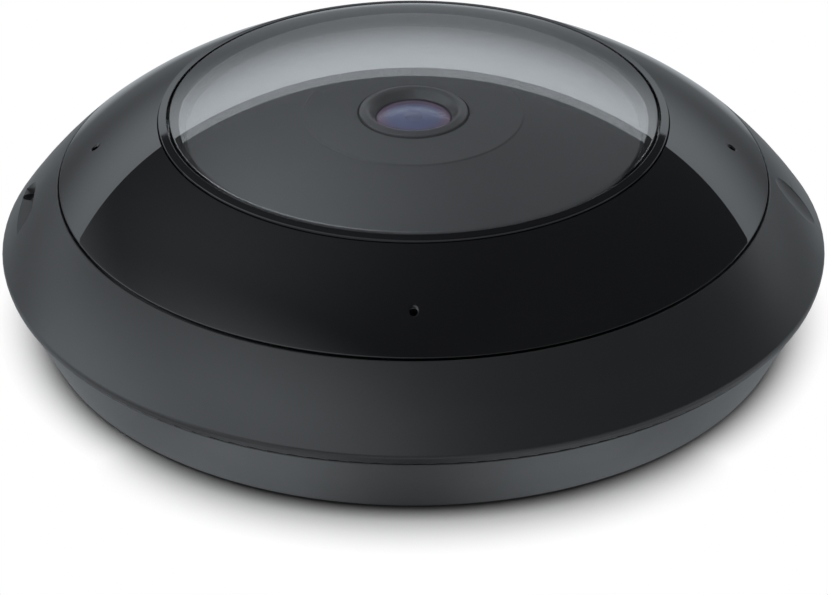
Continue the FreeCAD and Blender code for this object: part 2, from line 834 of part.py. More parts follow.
def make_ir_window():
    """Glossy bowed annular window with four sound holes."""
    outer = window_bow.point(seam_radius - seam_gap)
    outer_start = window_bow.below(outer[0], seam_round)
    outer_end = window_bow.along(outer, -seam_round)
    inner = window_bow.point(window_inner_radius)
    inner_under = window_bow.point(window_inner_radius, window_wall)
    outer_under = window_bow.below(outer[0], window_wall)
    window = turned(outer_start, rounding(outer, outer_start, outer_end),
                    window_bow.stretch(outer_end, inner), inner_under,
                    window_bow.stretch(inner_under, outer_under, window_wall))
    for angle in circle_angles(sound_hole_count):
        x, y = spot(sound_circle_radius, angle)
        window = window.cut(post(x, y, ir_board_height, dome_edge_height, sound_hole_radius))
    height = window_bow.height(sound_circle_radius)
    mouths = [edge for edge in window.Edges
              if abs(math.hypot(edge.CenterOfMass.x, edge.CenterOfMass.y) - sound_circle_radius) < boot_radius
              and abs(edge.CenterOfMass.z - height) < window_wall / 2]
    return window.makeFillet(sound_hole_round, mouths)


def make_dome_bezel():
    """Thin ring round the dome, with a leg that clamps the dome flange and backs the window."""
    seat_depth = window_wall + glue_gap
    inner = (bezel_inner_radius, bezel_height)
    outer = (bezel_radius, bezel_height - bezel_fall)
    inner_start = (bezel_inner_radius, bezel_height - bezel_round)
    inner_end = towards(inner, outer, bezel_round)
    outer_start = towards(outer, inner, bezel_round)
    outer_end = (bezel_radius, outer[1] - bezel_round)
    shoulder = window_bow.point(bezel_radius, seat_depth)
    leg_top = window_bow.point(bezel_leg_radius, seat_depth)
    flange_gap_radius = dome_flange_radius + free_gap
    flange_top = dome_flange_height + slide_gap
    bezel = turned(inner_start, rounding(inner, inner_start, inner_end),
                   outer_start, rounding(outer, outer_start, outer_end),
                   shoulder, window_bow.stretch(shoulder, leg_top, seat_depth),
                   (bezel_leg_radius, bezel_leg_height), (flange_gap_radius, bezel_leg_height),
                   (flange_gap_radius, flange_top), (bezel_inner_radius, flange_top))
    for angle in circle_angles(bezel_screw_count, bezel_screw_angle):
        x, y = spot(bezel_screw_radius, angle)
        pilot_top = bezel_leg_height + bezel_screw_bite + pilot_extra_depth
        pilot = post(x, y, bezel_leg_height, pilot_top, m2_screw[0] + pilot_gap)
        bezel = bezel.cut(pilot)
    return bezel


def make_dome():
    """Clear thick dome with an upright edge and a clamping flange."""
    edge = (dome_radius, dome_edge_height)
    edge_start = (dome_radius, dome_edge_height - dome_round)
    edge_end = dome_bow.along(edge, -dome_round)
    top = (0.0, dome_edge_height + dome_rise)
    inner_top = (0.0, dome_edge_height + dome_rise - dome_wall)
    inner_edge = dome_bow.point(dome_inner_radius, dome_wall)
    return turned(edge_start, rounding(edge, edge_start, edge_end),
                  dome_bow.stretch(edge_end, top), inner_top,
                  dome_bow.stretch(inner_top, inner_edge, dome_wall),
                  (dome_inner_radius, dome_flange_foot), (dome_flange_radius, dome_flange_foot),
                  (dome_flange_radius, dome_flange_height), (dome_radius, dome_flange_height))


def make_dome_gasket():
    """Flat seal between the dome flange and the chassis."""
    return ring(dome_inner_radius + free_gap, dome_flange_radius - trim_gap, chassis_top, dome_flange_foot)


def make_chassis():
    """Ring frame with four legs to the base and four arms under the light board."""
    step_radius = dome_flange_radius + trim_gap
    frame = turned((chassis_inner_radius, chassis_foot), (bezel_leg_radius, chassis_foot),
                   (bezel_leg_radius, chassis_step), (step_radius, chassis_step),
                   (step_radius, chassis_top), (chassis_inner_radius, chassis_top))
    pieces = [frame]
    leg_foot = floor_top + chassis_pad_height
    arm_length = chassis_arm_radius - chassis_leg_circle
    arm_low = ir_board_height - chassis_arm_thickness
    for angle in chassis_leg_angles:
        x, y = spot(chassis_leg_circle, angle)
        pieces.append(post(x, y, leg_foot, chassis_foot + cut_margin, chassis_leg_radius))
        arm = block(chassis_leg_circle + arm_length / 2, 0, arm_low, ir_board_height,
                    arm_length, chassis_arm_width)
        pieces.append(turned_about_z(arm, angle))
    chassis = joined(pieces)
    cutters = []
    for angle in chassis_leg_angles:
        x, y = spot(chassis_leg_circle, angle)
        cutters.append(post(x, y, leg_foot, leg_foot + chassis_screw_length, m3_screw[0] + pilot_gap))
        x, y = spot(arm_screw_radius(), angle)
        cutters.append(post(x, y, arm_low, ir_board_height, m2_screw[0] + pilot_gap))
    for angle in circle_angles(bezel_screw_count, bezel_screw_angle):
        x, y = spot(bezel_screw_radius, angle)
        cutters.append(post(x, y, chassis_foot, chassis_step, m2_screw[0] + screw_hole_extra))
    return chassis.cut(cutters)


def arm_screw_radius():
    """Circle of the screws that hold the light board on the chassis arms."""
    return (ir_board_inner_radius + ir_board_radius) / 2


def make_inner_liner():
    """Matt liner under the dome: raised disc, shallow step, falling skirt and a foot on the chassis."""
    hole = collar_radius + liner_hole_gap
    step_out = liner_disc_radius + liner_step_width
    step_low = liner_disc_height - liner_step
    edge = (liner_radius, liner_edge_height - liner_edge_round)
    edge_start = (liner_radius - liner_edge_round, liner_edge_height)
    turn = (liner_radius - liner_edge_round * (1 - math.sqrt(0.5)),
            liner_edge_height - liner_edge_round * (1 - math.sqrt(0.5)))
    foot_inner = liner_radius - liner_wall
    return turned((hole, liner_disc_height), (liner_disc_radius, liner_disc_height), (step_out, step_low),
                  edge_start, (turn, edge), (liner_radius, chassis_top), (foot_inner, chassis_top),
                  (foot_inner, liner_edge_height - liner_wall),
                  (step_out - liner_wall / 2, step_low - liner_wall),
                  (liner_disc_radius - liner_wall / 2, liner_disc_height - liner_wall),
                  (hole, liner_disc_height - liner_wall))


def make_lens_barrel():
    """Lens barrel whose front collar shows through the liner, with a tapered mouth and a glass seat."""
    return turned((collar_radius, collar_foot_height), (collar_radius, collar_height - collar_chamfer),
                  (collar_radius - collar_chamfer, collar_height),
                  (collar_opening_radius + collar_mouth_round, collar_height),
                  (collar_opening_radius, collar_height - collar_mouth_round),
                  (lens_glass_radius + slide_gap, lens_glass_edge_height + collar_seat_rim),
                  (lens_glass_radius + slide_gap, lens_glass_edge_height - lens_glass_thickness / 2),
                  (barrel_bore_radius, lens_glass_edge_height - lens_glass_thickness / 2),
                  (barrel_bore_radius, barrel_foot_height), (barrel_radius, barrel_foot_height),
                  (barrel_radius, collar_foot_height))


def make_lens_front_element():
    """Domed front glass of the lens, hollow underneath."""
    bow = Bow.cap(lens_glass_radius, lens_glass_edge_height, lens_glass_rise)
    edge = (lens_glass_radius, lens_glass_edge_height)
    top = (0.0, lens_glass_edge_height + lens_glass_rise)
    inner_top = (0.0, top[1] - lens_glass_thickness)
    foot = lens_glass_edge_height - lens_glass_thickness / 2
    inner_radius = barrel_bore_radius - free_gap
    inner_bow = Bow.cap(inner_radius, foot, inner_top[1] - foot)
    inner_edge = (inner_radius, foot)
    return turned(edge, bow.stretch(edge, top), inner_top,
                  inner_bow.stretch(inner_top, inner_edge), (lens_glass_radius, foot))


def make_lens_rear_group():
    """Rear glass of the lens, bulging both ways."""
    low = rear_glass_height
    high = rear_glass_height + rear_glass_thickness
    upper = Bow.cap(rear_glass_radius, high, rear_glass_bulge)
    edge_high = (rear_glass_radius, high)
    top = (0.0, high + rear_glass_bulge)
    glass = turned(edge_high, upper.stretch(edge_high, top), (0.0, low), (rear_glass_radius, low))
    carrier = ring(rear_glass_radius, barrel_bore_radius - slide_gap, low, high)
    return glass.fuse(carrier)


def make_lens_holder():
    """Square foot over the image sensor with a threaded tube for the barrel."""
    foot = sensor_board_top
    tube_inner = barrel_radius + slide_gap
    foot_top = foot + holder_foot_thickness
    holder = rounded_block(0, 0, foot, foot_top, holder_side, holder_side, holder_corner)
    holder = holder.fuse(post(0, 0, foot, holder_top_height, tube_inner + holder_tube_wall))
    pocket_top = foot_top - filter_thickness
    sensor_pocket = block(0, 0, foot, foot + image_sensor_thickness + free_gap,
                          image_sensor_length + 2 * free_gap, image_sensor_width + 2 * free_gap)
    filter_pocket = block(0, 0, pocket_top - filter_thickness, pocket_top,
                          filter_side + trim_gap, filter_side + trim_gap)
    light_way = block(0, 0, foot, pocket_top, filter_side - 2 * light_way_margin,
                      image_sensor_width - 2 * light_way_margin)
    bore = post(0, 0, pocket_top, holder_top_height, tube_inner)
    return holder.cut([sensor_pocket, filter_pocket, light_way, bore]).removeSplitter()


def make_lens_lock_ring():
    """Thin notched ring that locks the focus of the barrel on its holder."""
    foot = holder_top_height
    band = ring(barrel_radius + slide_gap, lock_ring_radius, foot, foot + lock_ring_thickness)
    for angle in circle_angles(lock_ring_notches):
        x, y = spot(lock_ring_radius, angle)
        band = band.cut(post(x, y, foot, foot + lock_ring_thickness, lock_ring_thickness / 2))
    return band


def make_ir_cut_filter():
    """Filter glass in its pocket in the lens holder."""
    top = sensor_board_top + holder_foot_thickness - filter_thickness
    return block(0, 0, top - filter_thickness, top, filter_side, filter_side)


def make_image_sensor():
    """Image sensor package on its board."""
    top = sensor_board_top + image_sensor_thickness
    package = block(0, 0, sensor_board_top, top, image_sensor_length, image_sensor_width)
    window = block(0, 0, top - trim_gap, top, image_sensor_length - 2 * image_sensor_frame,
                   image_sensor_width - 2 * image_sensor_frame)
    return package.cut(window)


def sensor_corners():
    """Places of the four screws of the sensor board."""
    return [(x * sensor_screw_offset, y * sensor_screw_offset) for x in (-1, 1) for y in (-1, 1)]


def make_sensor_board():
    """Square board with rounded corners that carries the image sensor."""
    board = rounded_block(0, 0, sensor_board_height, sensor_board_top,
                          sensor_board_side, sensor_board_side, sensor_board_corner)
    for x, y in sensor_corners():
        board = board.cut(post(x, y, sensor_board_height, sensor_board_top, m2_screw[0] + screw_hole_extra))
    return board


def make_sensor_spacers():
    """Four spacers between the two boards."""
    spacers = []
    for x, y in sensor_corners():
        tube = post(x, y, main_board_top, sensor_board_height, spacer_radius)
        bore = post(x, y, main_board_top, sensor_board_height, m2_screw[0] + screw_hole_extra)
        spacers.append(tube.cut(bore))
    return group(spacers)


def make_sensor_screws():
    """Four screws that go through the sensor board and its spacers into the main board."""
    length = sensor_board_thickness + sensor_board_gap + board_thickness
    return group([screw(x, y, sensor_board_top, length, m2_screw, False) for x, y in sensor_corners()])


def make_main_board():
    """Round main board with screw holes."""
    board = post(0, 0, main_board_height, main_board_top, main_board_radius)
    for angle in circle_angles(standoff_count):
        x, y = spot(standoff_circle, angle)
        board = board.cut(post(x, y, main_board_height, main_board_top, m25_screw[0] + screw_hole_extra))
    for x, y in sensor_corners():
        board = board.cut(post(x, y, main_board_height, main_board_top, m2_screw[0] + pilot_gap))
    return board


def make_board_screws():
    """Four screws that hold the main board on the posts of the base."""
    places = [spot(standoff_circle, angle) for angle in circle_angles(standoff_count)]
    length = board_screw_length
    return group([screw(x, y, main_board_top, length, m25_screw, False) for x, y in places])


def make_processor():
    """Main chip under the main board."""
    low = main_board_height - processor_thickness
    middle = low + processor_thickness / 2
    lid = block(processor_x, 0, low, middle, processor_lid_side(), processor_lid_side())
    body = block(processor_x, 0, middle, main_board_height, processor_side, processor_side)
    return body.fuse(lid)


def processor_lid_side():
    """Side of the raised lid on the chip, which the thermal pad covers."""
    return processor_side - 2 * processor_lid_margin


def make_thermal_pad():
    """Soft pad between the chip and the heat sink."""
    high = main_board_height - processor_thickness
    side = processor_lid_side()
    return block(processor_x, 0, high - thermal_pad_thickness, high, side, side)


def make_heat_sink():
    """Block on the floor of the base whose top cools the chip, with slots cut as fins."""
    high = main_board_height - processor_thickness - thermal_pad_thickness
    cap_low = high - heat_sink_foot
    sink = rounded_block(processor_x, 0, floor_top, high, heat_sink_side, heat_sink_side, heat_sink_corner)
    pitch = heat_sink_side / heat_sink_fins
    for step in range(1, heat_sink_fins):
        x = processor_x - heat_sink_side / 2 + step * pitch
        slot = block(x, 0, floor_top + heat_sink_foot, cap_low, heat_sink_slot, heat_sink_side)
        sink = sink.cut(slot)
    return sink


def make_ethernet_jack():
    """Network and power socket that hangs under the main board and opens downwards."""
    body = rounded_block(0, 0, jack_mouth_height, main_board_height, jack_length, jack_width, jack_corner)
    top = jack_mouth_height + jack_socket_depth
    socket = block(0, 0, jack_mouth_height, top, jack_socket_length, jack_socket_width)
    latch_y = -jack_socket_width / 2 - jack_latch_length / 2
    latch = block(0, latch_y, jack_mouth_height, top, jack_latch_width, jack_latch_length)
    return body.cut([socket, latch])


def make_jack_gasket():
    """Seal that fills the floor opening round the socket."""
    length = jack_length + 2 * jack_gasket_wall - trim_gap
    width = jack_width + 2 * jack_gasket_wall - trim_gap
    top = floor_top + jack_gasket_lip_thickness
    frame = block(0, 0, floor_height, floor_top, length, width)
    lip = block(0, 0, floor_top, top, length + 2 * jack_gasket_lip, width + 2 * jack_gasket_lip)
    inside = block(0, 0, floor_height, top, jack_length + trim_gap, jack_width + trim_gap)
    return frame.fuse(lip).cut(inside).removeSplitter()


def make_transformer():
    """Network transformer under the main board."""
    low = main_board_height - transformer_height
    return rounded_block(transformer_x, 0, low, main_board_height,
                         transformer_length, transformer_width, transformer_corner)


def make_reset_switch():
    """Small switch under the main board, above the button."""
    low = main_board_height - switch_height
    body = block(0, button_y, low, main_board_height, switch_side, switch_side)
    return body.fuse(post(0, button_y, low - switch_knob_height, low, switch_knob_radius))


def make_reset_button():
    """Button pin in its guide, with a flange that stops it on the guide's end."""
    knob_foot = main_board_height - switch_height - switch_knob_height
    top = knob_foot - button_travel - button_air
    flange_foot = floor_top + button_guide_height + slide_gap
    pin = post(0, button_y, floor_height + button_recess, top, button_radius)
    flange = post(0, button_y, flange_foot, flange_foot + button_flange_thickness, button_flange_radius)
    return pin.fuse(flange).removeSplitter()


def make_ir_board():
    """Annular board under the window that carries emitters, microphones and light sensor."""
    board = ring(ir_board_inner_radius, ir_board_radius, ir_board_height, ir_board_top)
    for angle in chassis_leg_angles:
        x, y = spot(arm_screw_radius(), angle)
        board = board.cut(post(x, y, ir_board_height, ir_board_top, m2_screw[0] + screw_hole_extra))
    return board


def make_ir_leds():
    """Emitters with domed lenses, evenly spaced between the microphones."""
    leds = []
    lens_top = ir_board_top + ir_led_body
    for angle in circle_angles(ir_led_count, ir_led_angle):
        body = block(ir_led_circle_radius, 0, ir_board_top, lens_top, ir_led_side, ir_led_side)
        ball = Part.makeSphere(ir_led_lens_radius, Vector(ir_led_circle_radius, 0, lens_top))
        above = block(ir_led_circle_radius, 0, lens_top - trim_gap, lens_top + ir_led_lens_radius,
                      ir_led_side, ir_led_side)
        leds.append(turned_about_z(body.fuse(ball.common(above)), angle))
    return group(leds)


def make_light_sensor():
    """Day and night sensor chip on the light board."""
    high = ir_board_top + sensor_chip_height
    chip = block(ir_led_circle_radius, 0, ir_board_top, high, sensor_chip_side, sensor_chip_side)
    lens = post(ir_led_circle_radius, 0, high, high + trim_gap, sensor_lens_radius)
    return turned_about_z(chip.fuse(lens), light_sensor_angle)


def make_microphones():
    """Four microphones under the sound holes, each with its port."""
    chips = []
    high = ir_board_top + microphone_height
    for angle in circle_angles(sound_hole_count):
        chip = block(sound_circle_radius, 0, ir_board_top, high, microphone_length, microphone_width)
        port = post(sound_circle_radius, 0, high - microphone_height / 2, high, sound_hole_radius / 2)
        chips.append(turned_about_z(chip.cut(port), angle))
    return group(chips)


def make_microphone_boots():
    """Four rubber tubes that lead the sound from the window to the microphones."""
    boots = []
    low = ir_board_top + microphone_height
    under = window_bow.point(ir_board_radius, window_wall + trim_gap)
    under_inner = window_bow.point(ir_board_inner_radius, window_wall + trim_gap)
    space = turned((ir_board_inner_radius, low), (ir_board_radius, low), under,
                   window_bow.stretch(under, under_inner, window_wall + trim_gap))
    for angle in circle_angles(sound_hole_count):
        x, y = spot(sound_circle_radius, angle)
        tube = post(x, y, low, dome_edge_height, boot_radius).common(space)
        boots.append(tube.cut(post(x, y, low, dome_edge_height, sound_hole_radius)))
    return group(boots)


def make_ribbon_cable():
    """Flat cable that rises from the main board to the underside of the light board."""
    low = main_board_top
    high = ir_board_height - ribbon_thickness
    rise_start = ribbon_bend_radius
    rise_end = ribbon_end_radius - ribbon_flat
    corners = [(ribbon_start_radius, low), (rise_start, low), (rise_end, high), (ribbon_end_radius, high),
               (ribbon_end_radius, high + ribbon_thickness), (rise_end, high + ribbon_thickness),
               (rise_start, low + ribbon_thickness), (ribbon_start_radius, low + ribbon_thickness)]
    points = [Vector(x, -ribbon_width / 2, z) for x, z in corners]
    face = Part.Face(Part.makePolygon(points + points[:1]))
    return turned_about_z(face.extrude(Vector(0, ribbon_width, 0)), ribbon_angle)


def make_lock_screw():
    """Slanted set screw with a hexagon socket and a blunt tip that ends just above the plate."""
    mouth, out = lock_axis()
    corner_drop = lock_screw_tip_radius * math.sin(math.radians(lock_screw_slope))
    tip_height = plate_thickness + free_gap + corner_drop
    tip = mouth - out * ((notch_ledge_height - tip_height) / out.z)
    head = mouth - out * lock_screw_recess
    length = (head - tip).Length
    point = Part.makeCone(lock_screw_tip_radius, lock_screw_radius, lock_screw_tip_length, tip, out)
    shank = Part.makeCylinder(lock_screw_radius, length - lock_screw_tip_length,
                              tip + out * lock_screw_tip_length, out)
    socket = hexagon_socket(head, out)
    return point.fuse(shank).cut(socket).removeSplitter()


def hexagon_socket(head, out):
    """Cutter for a hexagon socket in the end of a slanted screw."""
    side = Vector(0, 1, 0)
    up = out.cross(side)
    corners = []
    for angle in circle_angles(6):
        turn = math.radians(angle)
        along = side * (lock_socket_radius * math.cos(turn))
        across = up * (lock_socket_radius * math.sin(turn))
        corners.append(head + along + across)
    face = Part.Face(Part.makePolygon(corners + corners[:1]))
    return face.extrude(out * -lock_socket_depth)


def make_cover_screws():
    """Four screws from the underside into the bosses of the cover."""
    places = [spot(boss_circle_radius, angle) for angle in boss_angles]
    length = cover_screw_length
    return group([screw(x, y, floor_height + head_sink, length, m3_screw, True) for x, y in places])


def make_chassis_screws():
    """Four screws from the underside into the legs of the chassis."""
    places = [spot(chassis_leg_circle, angle) for angle in chassis_leg_angles]
    length = chassis_screw_length
    return group([screw(x, y, floor_height + head_sink, length, m3_screw, True) for x, y in places])


def make_bezel_screws():
    """Six screws from under the chassis into the leg of the bezel."""
    angles = circle_angles(bezel_screw_count, bezel_screw_angle)
    places = [spot(bezel_screw_radius, angle) for angle in angles]
    length = bezel_leg_height + bezel_screw_bite - chassis_foot
    return group([screw(x, y, chassis_foot, length, m2_screw, True) for x, y in places])


def make_ir_board_screws():
    """Four screws that hold the light board on the chassis arms."""
    places = [spot(arm_screw_radius(), angle) for angle in chassis_leg_angles]
    length = ir_board_screw_length
    return group([screw(x, y, ir_board_top, length, m2_screw, False) for x, y in places])


makers = {
    "mounting_plate": make_mounting_plate,
    "base_housing": make_base_housing,
    "body_gasket": make_body_gasket,
    "outer_cover": make_outer_cover,
    "ir_window": make_ir_window,
    "dome_bezel": make_dome_bezel,
    "dome": make_dome,
    "dome_gasket": make_dome_gasket,
    "chassis": make_chassis,
    "inner_liner": make_inner_liner,
    "lens_barrel": make_lens_barrel,
    "lens_front_element": make_lens_front_element,
    "lens_rear_group": make_lens_rear_group,
    "lens_holder": make_lens_holder,
    "lens_lock_ring": make_lens_lock_ring,
    "ir_cut_filter": make_ir_cut_filter,
    "image_sensor": make_image_sensor,
    "sensor_board": make_sensor_board,
    "sensor_spacers": make_sensor_spacers,
    "sensor_screws": make_sensor_screws,
    "main_board": make_main_board,
    "board_screws": make_board_screws,
    "processor": make_processor,
    "thermal_pad": make_thermal_pad,
    "heat_sink": make_heat_sink,
    "ethernet_jack": make_ethernet_jack,
    "jack_gasket": make_jack_gasket,
    "transformer": make_transformer,
    "reset_switch": make_reset_switch,
    "reset_button": make_reset_button,
    "ir_board": make_ir_board,
    "ir_leds": make_ir_leds,
    "light_sensor": make_light_sensor,
    "microphones": make_microphones,
    "microphone_boots": make_microphone_boots,
    "ribbon_cable": make_ribbon_cable,
    "lock_screw": make_lock_screw,
    "cover_screws": make_cover_screws,
    "chassis_screws": make_chassis_screws,
    "bezel_screws": make_bezel_screws,
    "ir_board_screws": make_ir_board_screws,
}

os.makedirs("parts", exist_ok=True)
for name, make in makers.items():
    shape = make()
    shape.exportStep("parts/" + name + ".step")
    print(name, len(shape.Solids), shape.isValid(), round(shape.Volume, 1))
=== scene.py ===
"""Looks of a round fisheye network camera that stands with its dome upwards on a white ground.

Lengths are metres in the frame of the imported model, with +Z up and the front towards -Y. Sections of turned
pieces are written in millimetres, as (radius, height) points.
"""

import json
import logging
import math
from dataclasses import dataclass, field
from enum import Enum

import bmesh
import bpy
from bpy.types import Material, Mesh, Node, NodeSocket, NodeTree
from mathutils import Matrix, Vector


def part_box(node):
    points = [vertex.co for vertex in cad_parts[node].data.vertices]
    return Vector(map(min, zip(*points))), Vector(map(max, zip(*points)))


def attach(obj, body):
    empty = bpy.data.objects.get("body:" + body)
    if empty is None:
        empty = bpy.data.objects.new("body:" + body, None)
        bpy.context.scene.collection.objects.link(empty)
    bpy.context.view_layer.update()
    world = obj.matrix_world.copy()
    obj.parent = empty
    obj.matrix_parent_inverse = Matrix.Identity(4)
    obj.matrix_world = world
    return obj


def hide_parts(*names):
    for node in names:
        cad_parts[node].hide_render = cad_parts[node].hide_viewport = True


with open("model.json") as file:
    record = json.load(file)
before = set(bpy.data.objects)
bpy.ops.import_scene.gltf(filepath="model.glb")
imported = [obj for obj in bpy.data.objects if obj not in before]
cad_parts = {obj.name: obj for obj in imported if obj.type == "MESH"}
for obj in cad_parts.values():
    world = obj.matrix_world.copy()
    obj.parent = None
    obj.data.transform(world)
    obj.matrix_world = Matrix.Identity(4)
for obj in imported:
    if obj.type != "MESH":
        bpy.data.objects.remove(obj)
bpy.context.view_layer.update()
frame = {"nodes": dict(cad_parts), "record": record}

MM = 0.001
ON_AXIS = 1e-9
ROUND_STEPS = 5
GRAIN_HEIGHT = 0.0002
CAMERA_BODY = "camera"
WHITE = (1.0, 1.0, 1.0, 1.0)
Color = tuple[float, float, float]
Point = tuple[float, float]
Corner = tuple[int, Vector]

log = logging.getLogger("fisheye_camera")


class Facing(Enum):
    """The way a screw's tip points."""

    UP = 1
    DOWN = -1


# Node trees


@dataclass(frozen=True)
class Socket:
    """One socket of a node group, with its type, start value and side."""

    name: str
    kind: str
    value: float | int | tuple | None = None
    is_output: bool = False


class NodeGraph:
    """Thin helper that adds and links nodes in one node tree."""

    def __init__(self, tree: NodeTree) -> None:
        """Keeps the tree."""
        self.tree = tree

    def add(self, kind: str, **values) -> Node:
        """Adds a node and sets its properties and input sockets.

        Args:
            kind: the node's type name.
            **values: properties by name, or sockets by name with underscores for spaces, or by
                index as in_0. A node socket as a value is linked.

        Returns:
            The new node.
        """
        node = self.tree.nodes.new(kind)
        for name, value in values.items():
            if not name.startswith("in_"):
                setattr(node, name, value)
                continue
            key = name[3:]
            socket = node.inputs[int(key)] if key.isdigit() else node.inputs[key.replace("_", " ")]
            if isinstance(value, NodeSocket):
                self.tree.links.new(value, socket)
            else:
                socket.default_value = value
        return node

    def link(self, source: NodeSocket, target: NodeSocket) -> None:
        """Links an output socket to an input socket."""
        self.tree.links.new(source, target)

    def place(self) -> NodeSocket:
        """Adds the object's own coordinates."""
        return self.add("ShaderNodeTexCoord").outputs["Object"]

    def length(self, vector: NodeSocket) -> NodeSocket:
        """Adds a vector's length."""
        return self.add("ShaderNodeVectorMath", operation="LENGTH", in_0=vector).outputs["Value"]

    def calculate(self, operation: str, first: NodeSocket | float,
                  second: NodeSocket | float = 0.0) -> NodeSocket:
        """Adds one step of arithmetic."""
        return self.add("ShaderNodeMath", operation=operation, in_0=first, in_1=second).outputs[0]

    def scaled(self, color: Color, factor: NodeSocket) -> NodeSocket:
        """Adds a colour times a factor."""
        return self.add("ShaderNodeVectorMath", operation="SCALE", in_0=color, in_Scale=factor).outputs[0]

    def blend(self, share: NodeSocket, first: NodeSocket | float, second: NodeSocket | float) -> NodeSocket:
        """Adds the way from a first to a second value, by a share."""
        return self.add("ShaderNodeMix", data_type="FLOAT", in_0=share, in_2=first, in_3=second).outputs[0]

    def ramp(self, value: NodeSocket, start: NodeSocket | float, end: NodeSocket | float,
             low: NodeSocket | float = 0.0, high: NodeSocket | float = 1.0,
             smooth: bool = True) -> NodeSocket:
        """Adds a ramp.

        Args:
            value: the value to read.
            start: value at which the ramp begins.
            end: value at which it ends.
            low: result at its beginning.
            high: result at its end.
            smooth: whether it eases in and out.

        Returns:
            The socket of the result.
        """
        return self.add("ShaderNodeMapRange", interpolation_type="SMOOTHSTEP" if smooth else "LINEAR",
                        in_Value=value, in_From_Min=start, in_From_Max=end, in_To_Min=low,
                        in_To_Max=high).outputs[0]


def new_group(name: str, sockets: list[Socket], kind: str = "ShaderNodeTree") -> tuple:
    """Makes an empty node group with named sockets.

    Args:
        name: the group's name.
        sockets: its inputs and outputs.
        kind: the type of tree.

    Returns:
        The tree, a graph helper, and its input and output nodes.
    """
    tree = bpy.data.node_groups.new(name, kind)
    for socket in sockets:
        side = "OUTPUT" if socket.is_output else "INPUT"
        item = tree.interface.new_socket(socket.name, in_out=side, socket_type=socket.kind)
        if socket.value is not None:
            item.default_value = socket.value
    graph = NodeGraph(tree)
    return tree, graph, graph.add("NodeGroupInput"), graph.add("NodeGroupOutput")


def new_material(name: str, shader: str, **values) -> tuple[Material, NodeGraph, Node]:
    """Makes a material with one shader at its output.

    Args:
        name: the material's name.
        shader: type name of the shader's node.
        **values: the shader's sockets, as NodeGraph.add takes them.

    Returns:
        The material, its graph and its shader.
    """
    material = bpy.data.materials.new(name)
    material.use_nodes = True
    material.node_tree.nodes.clear()
    graph = NodeGraph(material.node_tree)
    node = graph.add(shader, **values)
    graph.add("ShaderNodeOutputMaterial", in_Surface=node.outputs[0])
    return material, graph, node


# Shared shader effects


class Effects:
    """Shared shader effects, each built once as a node group."""

    def __init__(self) -> None:
        """Builds all the groups."""
        self.grain = self.build_grain()
        self.smudge = self.build_smudge()
        self.coating = self.build_coating_sheen()

    @staticmethod
    def build_grain() -> NodeTree:
        """Builds the fine spark-eroded grain of a moulded surface: a height and a slight tint.

        Returns:
            A group with Height and Tint outputs.
        """
        tree, graph, inputs, outputs = new_group("moulded_grain", [
            Socket("Scale", "NodeSocketFloat", 2600.0),
            Socket("Height", "NodeSocketFloat", 0.0, True),
            Socket("Tint", "NodeSocketFloat", 0.0, True),
        ])
        place = graph.place()
        fine = graph.add("ShaderNodeTexNoise", in_Vector=place, in_Scale=inputs.outputs["Scale"],
                         in_Detail=3.0, in_Roughness=0.6)
        coarse = graph.add("ShaderNodeTexNoise", in_Vector=place, in_Scale=90.0, in_Detail=2.0)
        tint = graph.ramp(coarse.outputs["Fac"], start=0.3, end=0.7, low=0.96, high=1.04, smooth=False)
        graph.link(fine.outputs["Fac"], outputs.inputs["Height"])
        graph.link(tint, outputs.inputs["Tint"])
        return tree

    @staticmethod
    def build_smudge() -> NodeTree:
        """Builds faint wiping marks that change the roughness of a surface.

        Returns:
            A group with a Roughness output.
        """
        tree, graph, inputs, outputs = new_group("wiping_marks", [
            Socket("Clean", "NodeSocketFloat", 0.05),
            Socket("Marked", "NodeSocketFloat", 0.09),
            Socket("Scale", "NodeSocketFloat", 35.0),
            Socket("Roughness", "NodeSocketFloat", 0.0, True),
        ])
        noise = graph.add("ShaderNodeTexNoise", in_Vector=graph.place(), in_Scale=inputs.outputs["Scale"],
                          in_Detail=6.0, in_Roughness=0.55, in_Distortion=0.8)
        rough = graph.ramp(noise.outputs["Fac"], start=0.45, end=0.75, low=inputs.outputs["Clean"],
                           high=inputs.outputs["Marked"], smooth=False)
        graph.link(rough, outputs.inputs["Roughness"])
        return tree

    @staticmethod
    def build_coating_sheen() -> NodeTree:
        """Builds the painted reflection of a coated lens: a colour tint that turns from its middle colour to
        its rim colour.

        Returns:
            A group with a Tint output.
        """
        tree, graph, inputs, outputs = new_group("lens_coating", [
            Socket("Middle", "NodeSocketColor", (0.1, 0.1, 0.2, 1.0)),
            Socket("Rim", "NodeSocketColor", (0.2, 0.08, 0.12, 1.0)),
            Socket("Inner Radius", "NodeSocketFloat", 0.004),
            Socket("Outer Radius", "NodeSocketFloat", 0.007),
            Socket("Tint", "NodeSocketColor", (0.0, 0.0, 0.0, 1.0), True),
        ])
        flat = graph.add("ShaderNodeVectorMath", operation="MULTIPLY", in_0=graph.place(),
                         in_1=(1.0, 1.0, 0.0))
        share = graph.ramp(graph.length(flat.outputs[0]), inputs.outputs["Inner Radius"],
                           inputs.outputs["Outer Radius"])
        mixed = graph.add("ShaderNodeMix", data_type="RGBA", in_0=share, in_6=inputs.outputs["Middle"],
                          in_7=inputs.outputs["Rim"])
        graph.link(mixed.outputs[2], outputs.inputs["Tint"])
        return tree


# Finishes


